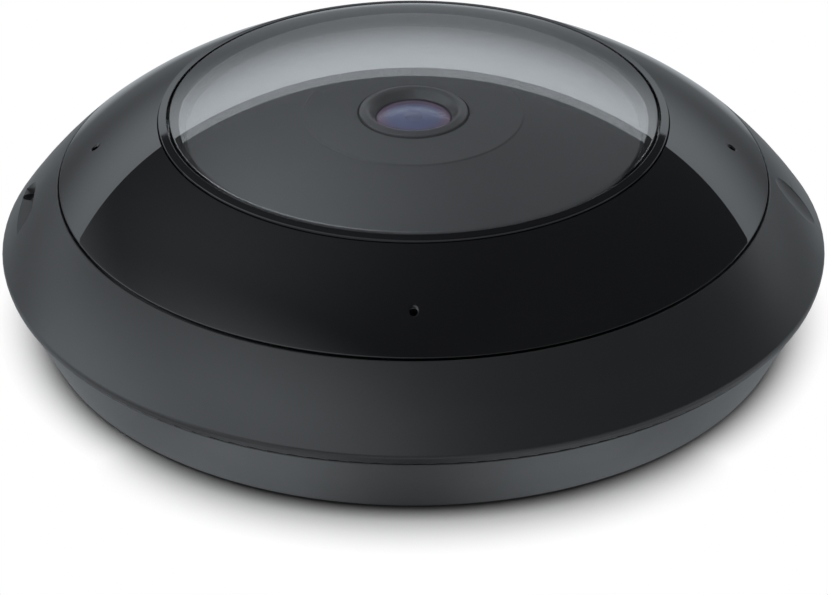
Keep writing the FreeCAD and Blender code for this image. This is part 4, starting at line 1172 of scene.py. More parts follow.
@dataclass(frozen=True)
class WindowPlate:
    """Glossy annular window with four rounded sound holes."""

    seam_radius: float = 68.5
    seam_gap: float = 0.12
    width: float = 19.45
    rise: float = 12.55
    sag: float = 0.873
    wall: float = 2.0
    edge_round: float = 0.25
    inner_round: float = 0.1
    outer_steps: int = 12
    inner_steps: int = 20
    hole_circle: float = 61.2
    hole_radius: float = 0.65
    hole_round: float = 0.45
    hole_round_steps: int = 6
    hole_count: int = 4
    block: int = 3

    def bow(self) -> Bow:
        """Section line of the window's face."""
        head = (self.seam_radius - self.width, high("ir_window"))
        return Bow.through((self.seam_radius, head[1] - self.rise), head, self.sag)

    def section(self) -> Section:
        """Section of the plate, with a ring of points through the middle of the holes.

        Returns:
            The section.
        """
        bow = self.bow()
        outer = bow.point(self.seam_radius - self.seam_gap)
        outer_under = bow.below(outer[0], self.wall)
        inner = bow.point(self.seam_radius - self.width)
        inner_under = bow.point(inner[0], self.wall)
        middle = bow.point(self.hole_circle)
        middle_under = bow.point(self.hole_circle, self.wall)
        section = Section(outer, self.edge_round).along(bow, middle, steps=self.outer_steps)
        section.along(bow, inner, steps=self.inner_steps, rounding=self.inner_round)
        section.to(inner_under).along(bow, middle_under, self.wall, steps=self.inner_steps)
        return section.along(bow, outer_under, self.wall, steps=self.outer_steps)

    def build(self, shop: Workshop) -> None:
        """Builds the plate with its holes.

        Args:
            shop: the workshop.
        """
        bow = self.bow()
        line = self.section().outline()
        lathe = shop.fine_lathe
        upper = self.nearest(line, bow.point(self.hole_circle))
        under = self.nearest(line, bow.point(self.hole_circle, self.wall))
        middles = [lathe.segments * hole // self.hole_count for hole in range(self.hole_count)]
        left_out = set()
        for middle in middles:
            for run in range(-self.block, self.block):
                for step in range(-self.block, self.block):
                    segment = (middle + step) % lathe.segments
                    left_out |= {(upper + run, segment), (under + run, segment)}
        surface, rings, ways = lathe.surface(line, frozenset(left_out))
        for middle in middles:
            self.add_hole(surface, rings, (upper, under, middle), ways, bow)
        shop.add(surface.to_mesh("window_plate"), "window_black", replaces=("ir_window",))

    @staticmethod
    def nearest(line: list[Point], target: Point) -> int:
        """Number of the section's point that is nearest to a target."""
        return min(range(len(line)), key=lambda index: math.dist(line[index], target))

    def add_hole(self, surface: Surface, rings: list[list[int]], at: tuple[int, int, int],
                 ways: list[Point], bow: Bow) -> None:
        """Fills the two square openings that were left out with one rounded hole.

        Args:
            surface: the window's surface.
            rings: vertex numbers of each ring.
            at: numbers of the upper ring, the lower ring and the segment in the hole's middle.
            ways: directions round the axis.
            bow: section line of the face.
        """
        upper, under, segment = at
        centre = Vector((self.hole_circle * ways[segment][0], self.hole_circle * ways[segment][1], 0.0))
        top_edge, under_edge, outward = [], [], []
        for across, along in self.square():
            column = (segment + along) % len(ways)
            number = rings[upper - across][column]
            top_edge.append((number, bow.normal(surface.vertices[number])))
            offset = surface.vertices[number] - centre
            outward.append(Vector((offset.x, offset.y, 0.0)).normalized())
            number = rings[under + across][column]
            under_edge.append((number, -bow.normal(surface.vertices[number])))
        loops = [top_edge]
        for step in range(self.hole_round_steps + 1):
            turn = math.radians(90.0 * step / self.hole_round_steps)
            radius = self.hole_radius + self.hole_round * (1 - math.sin(turn))
            drop = self.hole_round * (1 - math.cos(turn))
            loops.append(self.hole_ring(surface, centre, outward, radius, drop, bow, turn))
        loops.append(self.hole_ring(surface, centre, outward, self.hole_radius, self.wall, bow, math.pi / 2))
        loops.append(under_edge)
        for first, second in zip(loops, loops[1:]):
            surface.strip(first, second)

    def square(self) -> list[tuple[int, int]]:
        """Steps across and along, anticlockwise round the square opening.

        Returns:
            The steps.
        """
        size = self.block
        rising = range(-size, size)
        return ([(size, step) for step in rising] + [(-step, size) for step in rising]
                + [(-size, -step) for step in rising] + [(step, -size) for step in rising])

    @staticmethod
    def hole_ring(surface: Surface, centre: Vector, outward: list[Vector], radius: float, drop: float,
                  bow: Bow, turn: float) -> list[Corner]:
        """Adds one ring of the hole's rounded wall.

        Args:
            surface: the window's surface.
            centre: the hole's middle in plan.
            outward: directions from the middle.
            radius: the ring's radius.
            drop: its depth under the face.
            bow: section line of the face.
            turn: how far its normal has turned from the face into the hole.

        Returns:
            The ring's corners.
        """
        corners = []
        for way in outward:
            place = centre + way * radius
            level = bow.point(math.hypot(place.x, place.y))[1] - drop
            normal = bow.normal(place) * math.cos(turn) - way * math.sin(turn)
            corners.append((surface.vertex(place.x, place.y, level), normal.normalized()))
        return corners


@dataclass(frozen=True)
class DomeUnit:
    """Clear dome with its clamping flange, and the bezel ring round it.

    The wall is thinner than the solid's, so that the mirrored edges lie as in the photograph.
    """

    window: WindowPlate
    radius: float = 46.8
    rise: float = 10.1
    wall: float = 1.9
    steps: int = 60
    flange_thickness: float = 2.0
    edge_round: float = 0.3
    side_gap: float = 0.5
    bezel_width: float = 1.6
    bezel_fall: float = 0.4
    bezel_round: float = 0.2
    bezel_leg_wall: float = 4.2
    leg_gap: float = 0.1
    clamp_gap: float = 0.05
    leg_steps: int = 8

    def build(self, shop: Workshop) -> None:
        """Builds the dome and the bezel.

        Args:
            shop: the workshop.
        """
        shop.add(shop.fine_lathe.mesh("dome_shell", self.dome_section()), "dome_clear", replaces=("dome",))
        shop.add(shop.fine_lathe.mesh("bezel_ring", self.bezel_section()), "bezel_black",
                 replaces=("dome_bezel",))

    def dome_section(self) -> Section:
        """Section of the dome down to its flange.

        Returns:
            The section.
        """
        top, foot, rim = high("dome"), low("dome"), reach("dome")
        edge = (self.radius, top - self.rise)
        bow = Bow.cap(edge, self.rise)
        inner_edge = bow.point(self.radius - self.wall, self.wall)
        flange_top = foot + self.flange_thickness
        section = Section(edge, self.edge_round).along(bow, (0.0, top), steps=self.steps)
        section.to((0.0, top - self.wall)).along(bow, inner_edge, self.wall, steps=self.steps)
        return section.to((inner_edge[0], foot), (rim, foot), (rim, flange_top), (self.radius, flange_top))

    def bezel_section(self) -> Section:
        """Section of the ring and of its leg, which backs the window's inner edge.

        Returns:
            The section.
        """
        bow = self.window.bow()
        seat_depth = self.window.wall + self.leg_gap
        inner, top, foot = self.radius + self.side_gap, high("dome_bezel"), low("dome_bezel")
        outer, leg = inner + self.bezel_width, reach("dome_bezel")
        flange_top = low("dome") + self.flange_thickness + self.clamp_gap
        section = Section((inner, top), self.bezel_round)
        section.to((outer, top - self.bezel_fall), rounding=self.bezel_round)
        section.to(bow.point(outer, seat_depth))
        section.along(bow, bow.point(leg, seat_depth), seat_depth, self.leg_steps)
        return section.to((leg, foot), (leg - self.bezel_leg_wall, foot),
                          (leg - self.bezel_leg_wall, flange_top), (inner, flange_top))


@dataclass(frozen=True)
class LinerShell:
    """Matt liner under the dome, with its raised disc and its skirt."""

    hole_radius: float = 10.75
    hole_round: float = 0.2
    disc_radius: float = 21.0
    disc_round: float = 0.1
    step: float = 0.25
    fall: float = 3.45
    wall: float = 1.4
    edge_round: float = 0.5

    def build(self, shop: Workshop) -> None:
        """Builds the liner.

        Args:
            shop: the workshop.
        """
        disc, foot, radius = high("inner_liner"), low("inner_liner"), reach("inner_liner")
        step_out, step_low, edge = self.disc_radius + self.step, disc - self.step, disc - self.fall
        section = Section((self.hole_radius, disc), self.hole_round)
        section.to((self.disc_radius, disc), rounding=self.disc_round)
        section.to((step_out, step_low), rounding=self.disc_round)
        section.to((radius, edge), rounding=self.edge_round)
        section.to((radius, foot), (radius - self.wall, foot), (radius - self.wall, edge - self.wall),
                   (step_out, step_low - self.wall), (self.disc_radius, disc - self.wall),
                   (self.hole_radius, disc - self.wall))
        shop.add(shop.fine_lathe.mesh("liner_shell", section), "liner_black", replaces=("inner_liner",))


@dataclass(frozen=True)
class LensUnit:
    """Collar, front glass, coated element and stop of the wide-angle lens."""

    barrel_radius: float = 8.0
    bore_radius: float = 6.0
    thread_pitch: float = 0.5
    thread_depth: float = 0.2
    crest_share: float = 0.4
    collar_foot: float = 36.0
    collar_round: float = 0.2
    lip_rise: float = 0.7
    lip_fall: float = 0.5
    lip_width: float = 1.3
    opening_radius: float = 8.45
    opening_drop: float = 0.3
    mouth_round: float = 0.4
    glass_radius: float = 7.35
    glass_drop: float = 1.3
    glass_rise: float = 1.6
    glass_wall: float = 0.55
    glass_edge: float = 0.2
    glass_round: float = 0.1
    glass_steps: int = 30
    seat_gap: float = 0.05
    seat_rim: float = 0.15
    seat_round: float = 0.05
    seat_depth: float = 0.6
    element_inset: float = 0.3
    element_drop: float = 0.15
    element_rise: float = 0.4
    element_wall: float = 0.4
    inner_radius: float = 2.0
    inner_drop: float = 0.25
    inner_share: float = 0.5
    inner_gap: float = 0.05
    inner_wall: float = 0.1
    inner_steps: int = 24
    stop_drop: float = 4.0
    stop_line: tuple[Point, Point] = ((2.2, 0.0), (2.6, -0.3))
    stop_edge: tuple[float, float] = (1.2, -1.0)

    def build(self, shop: Workshop) -> None:
        """Builds the lens from outside to inside.

        Args:
            shop: the workshop.
        """
        shop.add(shop.fine_lathe.mesh("lens_collar", self.collar_section()), "lens_black",
                 replaces=("lens_barrel",))
        shop.add(shop.lathe.mesh("front_glass", self.glass_section()), "lens_glass",
                 replaces=("lens_front_element",))
        # The coated and inner elements carry painted sheen and a painted highlight in their colours.
        shop.add(shop.lathe.mesh("coated_element", self.element_section()), "lens_coating", "lens_glass")
        shop.add(shop.lathe.mesh("inner_element", self.inner_section()), "inner_glass", "lens_glass")
        shop.add(shop.lathe.mesh("lens_stop", self.stop_section()), "lens_black")

    def edge_height(self) -> float:
        """Height of the front glass's edge."""
        return high("lens_barrel") - self.glass_drop

    def collar_section(self) -> Section:
        """Section of the barrel with its thread, its collar and the tapered mouth.

        Returns:
            The section.
        """
        collar, foot, edge = reach("lens_barrel"), low("lens_barrel"), self.edge_height()
        seat, seat_foot = self.glass_radius + self.seat_gap, edge - self.seat_depth
        crest, root = high("lens_barrel") + self.lip_rise, self.barrel_radius - self.thread_depth
        section = Section((self.opening_radius, crest - self.opening_drop), self.mouth_round)
        section.to((seat, edge + self.seat_rim), rounding=self.seat_round).to((seat, seat_foot))
        section.to((self.bore_radius, seat_foot), (self.bore_radius, foot), (root, foot))
        height = foot
        while height + self.thread_pitch < self.collar_foot:
            section.to((self.barrel_radius, height + self.crest_share * self.thread_pitch),
                       (root, height + self.thread_pitch))
            height += self.thread_pitch
        section.to((root, self.collar_foot), (collar, self.collar_foot))
        section.to((collar, crest - self.lip_fall), rounding=self.collar_round)
        return section.to((collar - self.lip_width, crest), rounding=self.mouth_round)

    def glass_section(self) -> Section:
        """Section of the domed front glass, a thin shell that stands on its seat.

        Returns:
            The section.
        """
        edge = (self.glass_radius, self.edge_height())
        bow, top = Bow.cap(edge, self.glass_rise), edge[1] + self.glass_rise
        inner = bow.point(self.glass_radius - self.glass_edge, self.glass_wall)
        foot = edge[1] - self.seat_depth
        section = Section(edge, self.glass_round).along(bow, (0.0, top), steps=self.glass_steps)
        section.to((0.0, top - self.glass_wall)).along(bow, inner, self.glass_wall, self.glass_steps)
        return section.to((inner[0], foot), (self.glass_radius, foot))

    def element_section(self) -> Section:
        """Section of the coated element just under the front glass.

        Returns:
            The section.
        """
        edge = (self.glass_radius - self.element_inset, self.edge_height() - self.element_drop)
        top, foot = (0.0, edge[1] + self.element_rise), edge[1] - self.element_wall
        section = Section(edge, self.glass_round)
        section.along(Bow.cap(edge, self.element_rise), top, steps=self.glass_steps)
        return section.to((0.0, foot), (edge[0], foot))

    def inner_section(self) -> Section:
        """Section of the small element that stands out of the coated one.

        Returns:
            The section.
        """
        edge = (self.inner_radius, self.edge_height() + self.element_rise - self.inner_drop)
        room = high("lens_front_element") - self.glass_wall - self.inner_gap - edge[1]
        rise, foot = self.inner_share * room, edge[1] - self.inner_wall
        section = Section(edge).along(Bow.cap(edge, rise), (0.0, edge[1] + rise), steps=self.inner_steps)
        return section.to((0.0, foot), (edge[0], foot))

    def stop_section(self) -> Section:
        """Section of the stop ring in the middle of the barrel.

        Returns:
            The section.
        """
        top = self.edge_height() - self.stop_drop
        crest, under = ((radius, top + rise) for radius, rise in self.stop_line)
        outer, outer_under = ((self.bore_radius, top + rise) for rise in self.stop_edge)
        return Section(crest).to(outer, outer_under, under)


@dataclass(frozen=True)
class LightBoard:
    """Emitters, microphones and small parts of the annular light board."""

    led_circle: float = 58.6
    led_count: int = 8
    led_size: tuple[float, ...] = (3.45, 3.45, 1.2, 0.15)
    led_lens: float = 1.4
    led_collar: float = 0.1
    led_sink: float = 0.15
    lens_steps: int = 10
    lens_segments: int = 32
    microphone_circle: float = 61.2
    microphone_count: int = 4
    microphone_size: tuple[float, ...] = (3.8, 3.0, 1.0, 0.25)
    resistor_inset: float = 1.9
    resistor_count: int = 24
    resistor_size: tuple[float, ...] = (0.8, 1.6, 0.5, 0.1)

    def build(self, shop: Workshop) -> None:
        """Builds the emitters' bodies and lenses, the microphones and the resistors.

        Args:
            shop: the workshop.
        """
        top, first = high("ir_board"), math.pi / self.led_count
        shop.add_ring("led_bodies", chip_mesh("led_body", *self.led_size), self.led_count,
                      self.led_circle, top, first, "inner_plastic", ("ir_leds",))
        shop.add_ring("led_lenses", self.led_lens_mesh(), self.led_count, self.led_circle, top, first,
                      "led_clear")
        shop.add_ring("microphone_cans", chip_mesh("microphone_can", *self.microphone_size),
                      self.microphone_count, self.microphone_circle, top, 0.0, "microphone_metal",
                      ("microphones",))
        shop.add_ring("light_board_resistors", chip_mesh("resistor", *self.resistor_size),
                      self.resistor_count, self.led_circle - self.resistor_inset, top,
                      math.pi / self.resistor_count, "chip_black")

    def led_lens_mesh(self) -> Mesh:
        """Builds the domed lens of one emitter.

        Returns:
            The mesh.
        """
        edge = (self.led_lens, self.led_size[2] + self.led_collar)
        foot = edge[1] - self.led_sink
        section = Section((0.0, foot)).to((edge[0], foot), edge)
        for step in range(1, self.lens_steps):
            turn = math.pi / 2 * step / self.lens_steps
            section.to((self.led_lens * math.cos(turn), edge[1] + self.led_lens * math.sin(turn)))
        return Lathe(self.lens_segments).mesh("led_lens", section.to((0.0, edge[1] + self.led_lens)))


@dataclass(frozen=True)
class Electronics:
    """Small parts of the main board and the contacts of the socket.

    The first can stands at an angle in degrees, the first resistor at a turn in radians.
    """

    contact_count: int = 8
    contact_pitch: float = 1.02
    contact_width: float = 0.45
    contact_thickness: float = 0.24
    contact_line: tuple[Point, ...] = ((3.2, 1.6), (3.2, 0.8), (2.9, 0.5), (2.4, 0.9), (0.9, 7.6), (0.6, 9.8))
    capacitor_circle: float = 30.0
    capacitor_count: int = 3
    capacitor_angle: float = 100.0
    can_radius: float = 2.5
    can_height: float = 5.4
    can_waist: tuple[float, ...] = (0.9, 1.1, 1.3)
    can_waist_depth: float = 0.2
    can_foot_round: float = 0.2
    can_round: float = 0.4
    can_segments: int = 40
    resistor_inset: float = 5.5
    resistor_count: int = 18
    resistor_turn: float = 0.2
    resistor_size: tuple[float, ...] = (1.6, 3.2, 0.8, 0.15)

    def build(self, shop: Workshop) -> None:
        """Builds the contacts, capacitors and resistors.

        Args:
            shop: the workshop.
        """
        start = -(self.contact_count - 1) / 2 * self.contact_pitch * MM
        contacts = shop.copies.run("jack_contacts", shop.copies.row_tree, self.contact_mesh(), {
            "Count": self.contact_count, "Start": (start, 0.0, low("ethernet_jack") * MM),
            "Step": (self.contact_pitch * MM, 0.0, 0.0), "Material": shop.materials["contact_gold"]})
        shop.add(contacts, "contact_gold", "microphone_metal")
        board = high("main_board")
        shop.add_ring("capacitor_cans", self.capacitor_mesh(), self.capacitor_count,
                      self.capacitor_circle, board, math.radians(self.capacitor_angle), "sink_metal")
        shop.add_ring("board_resistors", chip_mesh("board_resistor", *self.resistor_size),
                      self.resistor_count, self.capacitor_circle - self.resistor_inset, board,
                      self.resistor_turn, "chip_black")

    def contact_mesh(self) -> Mesh:
        """Builds one bent spring contact, which starts at the socket's mouth.

        Returns:
            The mesh.
        """
        bm = bmesh.new()
        half, thin = self.contact_width / 2, self.contact_thickness / 2
        ring = ((-half, -thin), (half, -thin), (half, thin), (-half, thin))
        rows = [[bm.verts.new((x, y + offset, z)) for x, offset in ring] for y, z in self.contact_line]
        for first, second in zip(rows, rows[1:]):
            add_band(bm, first, second)
        bm.faces.new(rows[0][::-1])
        bm.faces.new(rows[-1])
        return polygon_mesh("contact", bm)

    def capacitor_mesh(self) -> Mesh:
        """Builds one capacitor can with a crimped waist and rounded edges.

        Returns:
            The mesh.
        """
        radius, (low_crimp, crimp, high_crimp) = self.can_radius, self.can_waist
        section = Section((0.0, 0.0)).to((radius, 0.0), rounding=self.can_foot_round)
        section.to((radius, low_crimp)).to((radius - self.can_waist_depth, crimp), (radius, high_crimp))
        section.to((radius, self.can_height), rounding=self.can_round).to((0.0, self.can_height))
        return Lathe(self.can_segments).mesh("capacitor", section)


@dataclass(frozen=True)
class ScrewGroup:
    """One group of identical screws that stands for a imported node."""

    node: str
    size: ScrewSize
    length: float
    facing: Facing
    radius: float
    angles: tuple[float, ...]

    def build(self, shop: Workshop) -> None:
        """Builds the group with its heads turned at random.

        Args:
            shop: the workshop.
        """
        if self.facing is Facing.UP:
            seat = low(self.node) + self.size.head_height
        else:
            seat = high(self.node) - self.size.head_height
        turns = [math.radians(angle) for angle in self.angles]
        spots = tuple((self.radius * math.cos(turn) * MM, self.radius * math.sin(turn) * MM, seat * MM)
                      for turn in turns)
        source = self.size.mesh(self.node + "_source", self.length, self.facing)
        mesh = shop.copies.run(self.node + "_set", shop.copies.spot_tree, source, {
            "Random Turn": math.tau, "Seed": len(self.node),
            "Material": shop.materials["screw_steel"]}, spots)
        shop.add(mesh, "screw_steel", replaces=(self.node,))


QUARTERS = (45.0, 135.0, 225.0, 315.0)
SCREW_GROUPS = (
    ScrewGroup("cover_screws", M3, 12.0, Facing.UP, 67.2, (40.0, 140.0, 220.0, 320.0)),
    ScrewGroup("chassis_screws", M3, 12.0, Facing.UP, 48.5, QUARTERS),
    ScrewGroup("bezel_screws", M2, 5.3, Facing.UP, 52.9, (30.0, 90.0, 150.0, 210.0, 270.0, 330.0)),
    ScrewGroup("ir_board_screws", M2, 2.8, Facing.DOWN, 59.5, QUARTERS),
    ScrewGroup("board_screws", M25, 7.0, Facing.DOWN, 38.0, (0.0, 90.0, 180.0, 270.0)),
    ScrewGroup("sensor_screws", M2, 5.3, Facing.DOWN, 12.0 * math.sqrt(2.0), QUARTERS),
)


# Studio


@dataclass(frozen=True)
class Glow:
    """One soft light patch of the tent: its direction in degrees, its size and its strength."""

    heading: float
    rise: float
    width: float
    height: float
    level: float
    fade: float = 1.9
    behind_fade: float = 10.0

    def add(self, graph: NodeGraph, way: NodeSocket) -> NodeSocket:
        """Adds the nodes that give the patch's light for a direction.

        Args:
            graph: the material's graph.
            way: the direction's socket.

        Returns:
            The socket of the light.
        """
        turn, rise = math.radians(self.heading), math.radians(self.rise)
        middle = Vector((math.sin(turn) * math.cos(rise), math.cos(turn) * math.cos(rise), math.sin(rise)))
        across = Vector((math.cos(turn), -math.sin(turn), 0.0))
        upwards = across.cross(middle)
        sideways, over, ahead = (
            graph.add("ShaderNodeVectorMath", operation="DOT_PRODUCT", in_0=way, in_1=axis).outputs["Value"]
            for axis in (across / self.width, upwards / self.height, middle))
        behind = graph.calculate("MULTIPLY", graph.calculate("MINIMUM", ahead, 0.0), self.behind_fade)
        offset = graph.add("ShaderNodeCombineXYZ", in_X=sideways, in_Y=over, in_Z=behind)
        return graph.ramp(graph.length(offset.outputs[0]), 0.0, self.fade, self.level, 0.0)


@dataclass
class Studio:
    """Floor, light and camera, none of which belong to the object.

    The foot card is a light sheet just over the ground that only mirroring and clear surfaces see. Its
    levels are what the base wall and the underside of the cover mirror. Its dim level in front of the foot is
    painted shade that stands for the shadowed floor there.
    """

    eye: Vector = field(default_factory=lambda: Vector((0.0, -0.6261, 0.3737)))
    pitch_down: float = 30.735
    lens: float = 160.6
    shift_x: float = 0.0006
    sensor_width: float = 36.0
    clip_start: float = 0.01
    floor_size: float = 12.0
    room_level: float = 0.2
    band_level: float = 1.0
    band_top: tuple[float, float] = (0.14, 0.26)
    lamp_power: float = 62.0
    lamp_size: float = 2.4
    lamp_height: float = 2.2
    card_color: Color = (0.9, 0.965, 1.02)
    tent_radius: float = 9.0
    tent_segments: int = 48
    tent_foot: float = -0.01
    tent_level: float = 0.09
    glows: tuple[Glow, ...] = (Glow(-93.0, 9.0, 0.5, 0.25, 2.75), Glow(-135.0, 38.0, 0.53, 0.28, 2.05),
                               Glow(-72.0, 52.0, 0.42, 0.42, 0.36))
    backdrop_distance: float = 2.7
    backdrop_slope: float = 0.57
    backdrop_base: float = 0.27
    backdrop_top: float = 1.46
    backdrop_half: float = 6.0
    foot_radius: float = 0.0721
    # foot_front is the painted shade level of the card in front of the foot, as the mirrors see it.
    foot_lift: float = 0.0008
    foot_front: float = 0.27
    foot_side: float = 0.75
    foot_front_half: float = 0.028
    foot_beyond: float = 0.47
    foot_beyond_way: tuple[float, float] = (0.035, 0.055)
    foot_outside_way: tuple[float, float] = (0.09, 0.12)
    foot_left: float = 0.95
    foot_right: float = 0.9
    foot_ahead_half: float = 0.12
    foot_back: float = 0.55
    foot_far: float = 0.26
    foot_far_way: tuple[float, float] = (0.14, 0.24)
    foot_behind_depth: float = 0.06
    ground_color: Color = (0.99, 0.99, 0.99)
    front_way: tuple[float, float] = (-0.92, -0.7)
    # shade_front and shade_side set how far from the foot the painted white of the ground begins, in front
    # and at the sides.
    shade_front: float = 0.03
    shade_side: float = 0.0098
    # The painted contact fields and contact_width darken the ground's colour at the foot as painted contact
    # shade.
    painted_contact_inset: float = 0.001
    contact_width: float = 0.005
    painted_contact_shade_front: float = 0.3
    painted_contact_shade_side: float = 0.7

    def build(self) -> None:
        """Builds the whole studio."""
        self.make_camera()
        self.make_world()
        self.make_floor()
        self.make_tent()
        self.make_backdrop_card()
        self.make_foot_card()
        self.make_lamp()

    def make_camera(self) -> None:
        """Makes the photograph's camera."""
        data = bpy.data.cameras.new("photo_camera")
        data.lens = self.lens
        data.sensor_width = self.sensor_width
        data.shift_x = self.shift_x
        data.clip_start = self.clip_start
        camera = bpy.data.objects.new("photo_camera", data)
        camera.location = self.eye
        camera.rotation_euler = (math.radians(90.0 - self.pitch_down), 0.0, 0.0)
        bpy.context.scene.collection.objects.link(camera)
        bpy.context.scene.camera = camera

    def make_world(self) -> None:
        """Makes a dim room with a white band round the horizon."""
        scene = bpy.context.scene
        scene.view_settings.view_transform = "Standard"
        world = bpy.data.worlds.new("room")
        world.use_nodes = True
        world.node_tree.nodes.clear()
        graph = NodeGraph(world.node_tree)
        way = graph.add("ShaderNodeTexCoord").outputs["Generated"]
        height = graph.add("ShaderNodeSeparateXYZ", in_Vector=way).outputs["Z"]
        diffuse = graph.add("ShaderNodeLightPath").outputs["Is Diffuse Ray"]
        band = graph.ramp(diffuse, 0.0, 1.0, self.band_level, self.room_level, smooth=False)
        level = graph.ramp(height, *self.band_top, band, self.room_level)
        shader = graph.add("ShaderNodeBackground", in_Strength=level, in_Color=WHITE)
        graph.add("ShaderNodeOutputWorld", in_Surface=shader.outputs[0])
        scene.world = world

    def make_floor(self) -> None:
        """Makes the white ground. It keeps the cast shadow close to the foot, is painted plain white beyond
        it for camera rays, and its colour is darkened at the foot as painted contact shade.
        """
        material, graph, mixed = new_material("white_ground", "ShaderNodeMixShader")
        place = graph.place()
        distance = graph.length(place)
        across = graph.add("ShaderNodeSeparateXYZ", in_Vector=place)
        forward = graph.calculate("DIVIDE", across.outputs["Y"], distance)
        # Painted light: camera rays see plain white emission instead of the ground from a reach that is wider
        # in front than at the sides. This cuts the cast shadow short.
        reach_out = graph.ramp(forward, *self.front_way, self.foot_radius + self.shade_front,
                               self.foot_radius + self.shade_side, smooth=False)
        beyond = graph.ramp(distance, self.foot_radius, reach_out, smooth=False)
        # Painted contact shade: the ground's colour is darkened near the foot, most at the front.
        painted_contact_darkest = graph.ramp(forward, *self.front_way, self.painted_contact_shade_front, self.painted_contact_shade_side, smooth=False)
        contact = graph.ramp(distance, self.foot_radius - self.painted_contact_inset,
                             self.foot_radius + self.contact_width, painted_contact_darkest)
        ground = graph.add("ShaderNodeBsdfDiffuse", in_Color=graph.scaled(self.ground_color, contact))
        white = graph.add("ShaderNodeEmission", in_Strength=1.0)
        seen = graph.add("ShaderNodeLightPath").outputs["Is Camera Ray"]
        graph.link(graph.calculate("MULTIPLY", beyond, seen), mixed.inputs[0])
        graph.link(ground.outputs[0], mixed.inputs[1])
        graph.link(white.outputs[0], mixed.inputs[2])
        self.sheet("ground", self.floor_corners(0.0), material)

    def floor_corners(self, height: float) -> list[tuple]:
        """Corners of a level sheet of the floor's size."""
        half = self.floor_size / 2
        return [(-half, -half, height), (half, -half, height), (half, half, height), (-half, half, height)]

    def glow(self, name: str) -> tuple[Material, NodeGraph, Node]:
        """Starts a glowing material for a card."""
        return new_material(name, "ShaderNodeEmission", in_Color=(*self.card_color, 1.0))

    @staticmethod
    def stand(mesh: Mesh, material: Material, mirrored_only: bool) -> None:
        """Puts one piece of the studio into the scene.

        Args:
            mesh: its mesh, which gives its name.
            material: its material.
            mirrored_only: whether only mirroring and clear surfaces see it.
        """
        mesh.materials.append(material)
        piece = bpy.data.objects.new(mesh.name, mesh)
        bpy.context.scene.collection.objects.link(piece)
        if mirrored_only:
            piece.visible_camera = False
            piece.visible_diffuse = False
            piece.visible_shadow = False

    def sheet(self, name: str, corners: list[tuple], material: Material,
              mirrored_only: bool = False) -> None:
        """Makes one flat sheet of the studio.

        Args:
            name: the sheet's name.
            corners: its corners.
            material: its material.
            mirrored_only: whether only mirroring and clear surfaces see it.
        """
        mesh = bpy.data.meshes.new(name)
        mesh.from_pydata(corners, [], [tuple(range(len(corners)))])
        self.stand(mesh, material, mirrored_only)

    def make_tent(self) -> None:
        """Makes the dim tent over everything, with its soft light patches at the left."""
        material, graph, emission = self.glow("tent_light")
        way = graph.add("ShaderNodeVectorMath", operation="NORMALIZE", in_0=graph.place()).outputs[0]
        total = self.tent_level
        for patch in self.glows:
            total = graph.calculate("ADD", total, patch.add(graph, way))
        graph.link(total, emission.inputs["Strength"])
        bm = bmesh.new()
        bmesh.ops.create_uvsphere(bm, u_segments=self.tent_segments, v_segments=self.tent_segments // 2,
                                  radius=self.tent_radius)
        low_half = [vertex for vertex in bm.verts if vertex.co.z < self.tent_foot]
        bmesh.ops.delete(bm, geom=low_half, context="VERTS")
        mesh = bpy.data.meshes.new("tent")
        bm.to_mesh(mesh)
        bm.free()
        self.stand(mesh, material, True)

    def make_backdrop_card(self) -> None:
        """Makes the light card behind the object, brighter towards its top edge."""
        half, y = self.backdrop_half, self.backdrop_distance
        top = self.backdrop_slope * y
        material, graph, emission = self.glow("backdrop_light")
        height = graph.add("ShaderNodeSeparateXYZ", in_Vector=graph.place()).outputs["Z"]
        level = graph.ramp(height, 0.0, top, self.backdrop_base, self.backdrop_top)
        graph.link(level, emission.inputs["Strength"])
        corners = [(-half, y, 0.0), (half, y, 0.0), (half, y, top), (-half, y, top)]
        self.sheet("backdrop_card", corners, material, True)

    def make_foot_card(self) -> None:
        """Makes the dim sheet just over the ground, lighter beside the foot than in front of it, where the
        dimness is painted shade.
        """
        material, graph, emission = self.glow("foot_light")
        place = graph.place()
        across = graph.add("ShaderNodeSeparateXYZ", in_Vector=place)
        distance = graph.length(place)
        offset = graph.calculate("ABSOLUTE", across.outputs["X"])
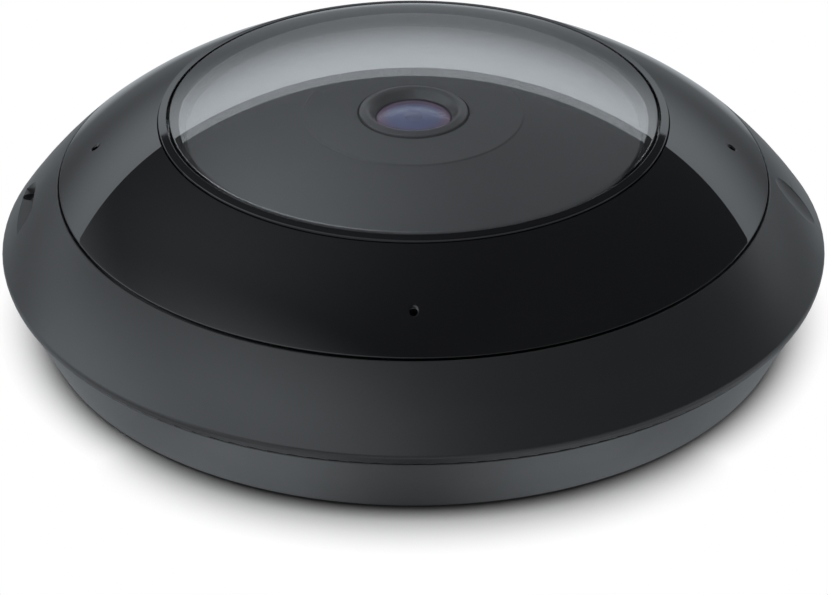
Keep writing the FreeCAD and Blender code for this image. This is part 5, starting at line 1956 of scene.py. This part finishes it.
        # Painted shade for mirrors: the card is dimmest in front of the foot, where it stands for the
        # shadowed floor.
        near = graph.ramp(offset, 0.0, self.foot_front_half, self.foot_front, self.foot_side)
        beside = graph.blend(graph.ramp(offset, *self.foot_beyond_way), near, self.foot_beyond)
        ahead = graph.ramp(across.outputs["X"], -self.foot_ahead_half, self.foot_ahead_half,
                           self.foot_left, self.foot_right)
        close = graph.ramp(distance, *self.foot_far_way, self.foot_back, self.foot_far)
        behind = graph.ramp(across.outputs["Y"], 0.0, self.foot_behind_depth)
        outside = graph.ramp(distance, *self.foot_outside_way)
        level = graph.blend(outside, beside, graph.blend(behind, ahead, close))
        graph.link(level, emission.inputs["Strength"])
        self.sheet("foot_card", self.floor_corners(self.foot_lift), material, True)

    def make_lamp(self) -> None:
        """Makes the large soft lamp above, which no surface mirrors."""
        data = bpy.data.lights.new("soft_lamp", "AREA")
        data.shape = "SQUARE"
        data.size = self.lamp_size
        data.energy = self.lamp_power
        lamp = bpy.data.objects.new("soft_lamp", data)
        lamp.location = (0.0, 0.0, self.lamp_height)
        lamp.visible_glossy = False
        lamp.visible_transmission = False
        lamp.visible_camera = False
        bpy.context.scene.collection.objects.link(lamp)


# The whole scene


def dress_nodes(materials: dict[str, Material]) -> None:
    """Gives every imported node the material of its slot.

    Args:
        materials: materials by slot name.
    """
    slots = {row["node"]: row["material_slot"] for row in frame["record"]["subparts"]}
    for name, node in frame["nodes"].items():
        if not node.material_slots:
            node.data.materials.append(materials[slots[name]])
        for slot in node.material_slots:
            slot.link = "OBJECT"
            slot.material = materials[slots[name]]


def main() -> None:
    """Builds the studio, the finishes and the pieces in order."""
    logging.basicConfig(level=logging.INFO, format="%(name)s: %(message)s")
    Studio().build()
    effects = Effects()
    materials = {finish.name: finish.build(effects) for finish in FINISHES}
    dress_nodes(materials)
    shop = Workshop(materials)
    window = WindowPlate()
    for unit in (window, DomeUnit(window), LinerShell(), LensUnit(), LightBoard(), Electronics(),
                 *SCREW_GROUPS):
        log.info("building %s", type(unit).__name__)
        unit.build(shop)


if __name__ == "__main__":
    main()
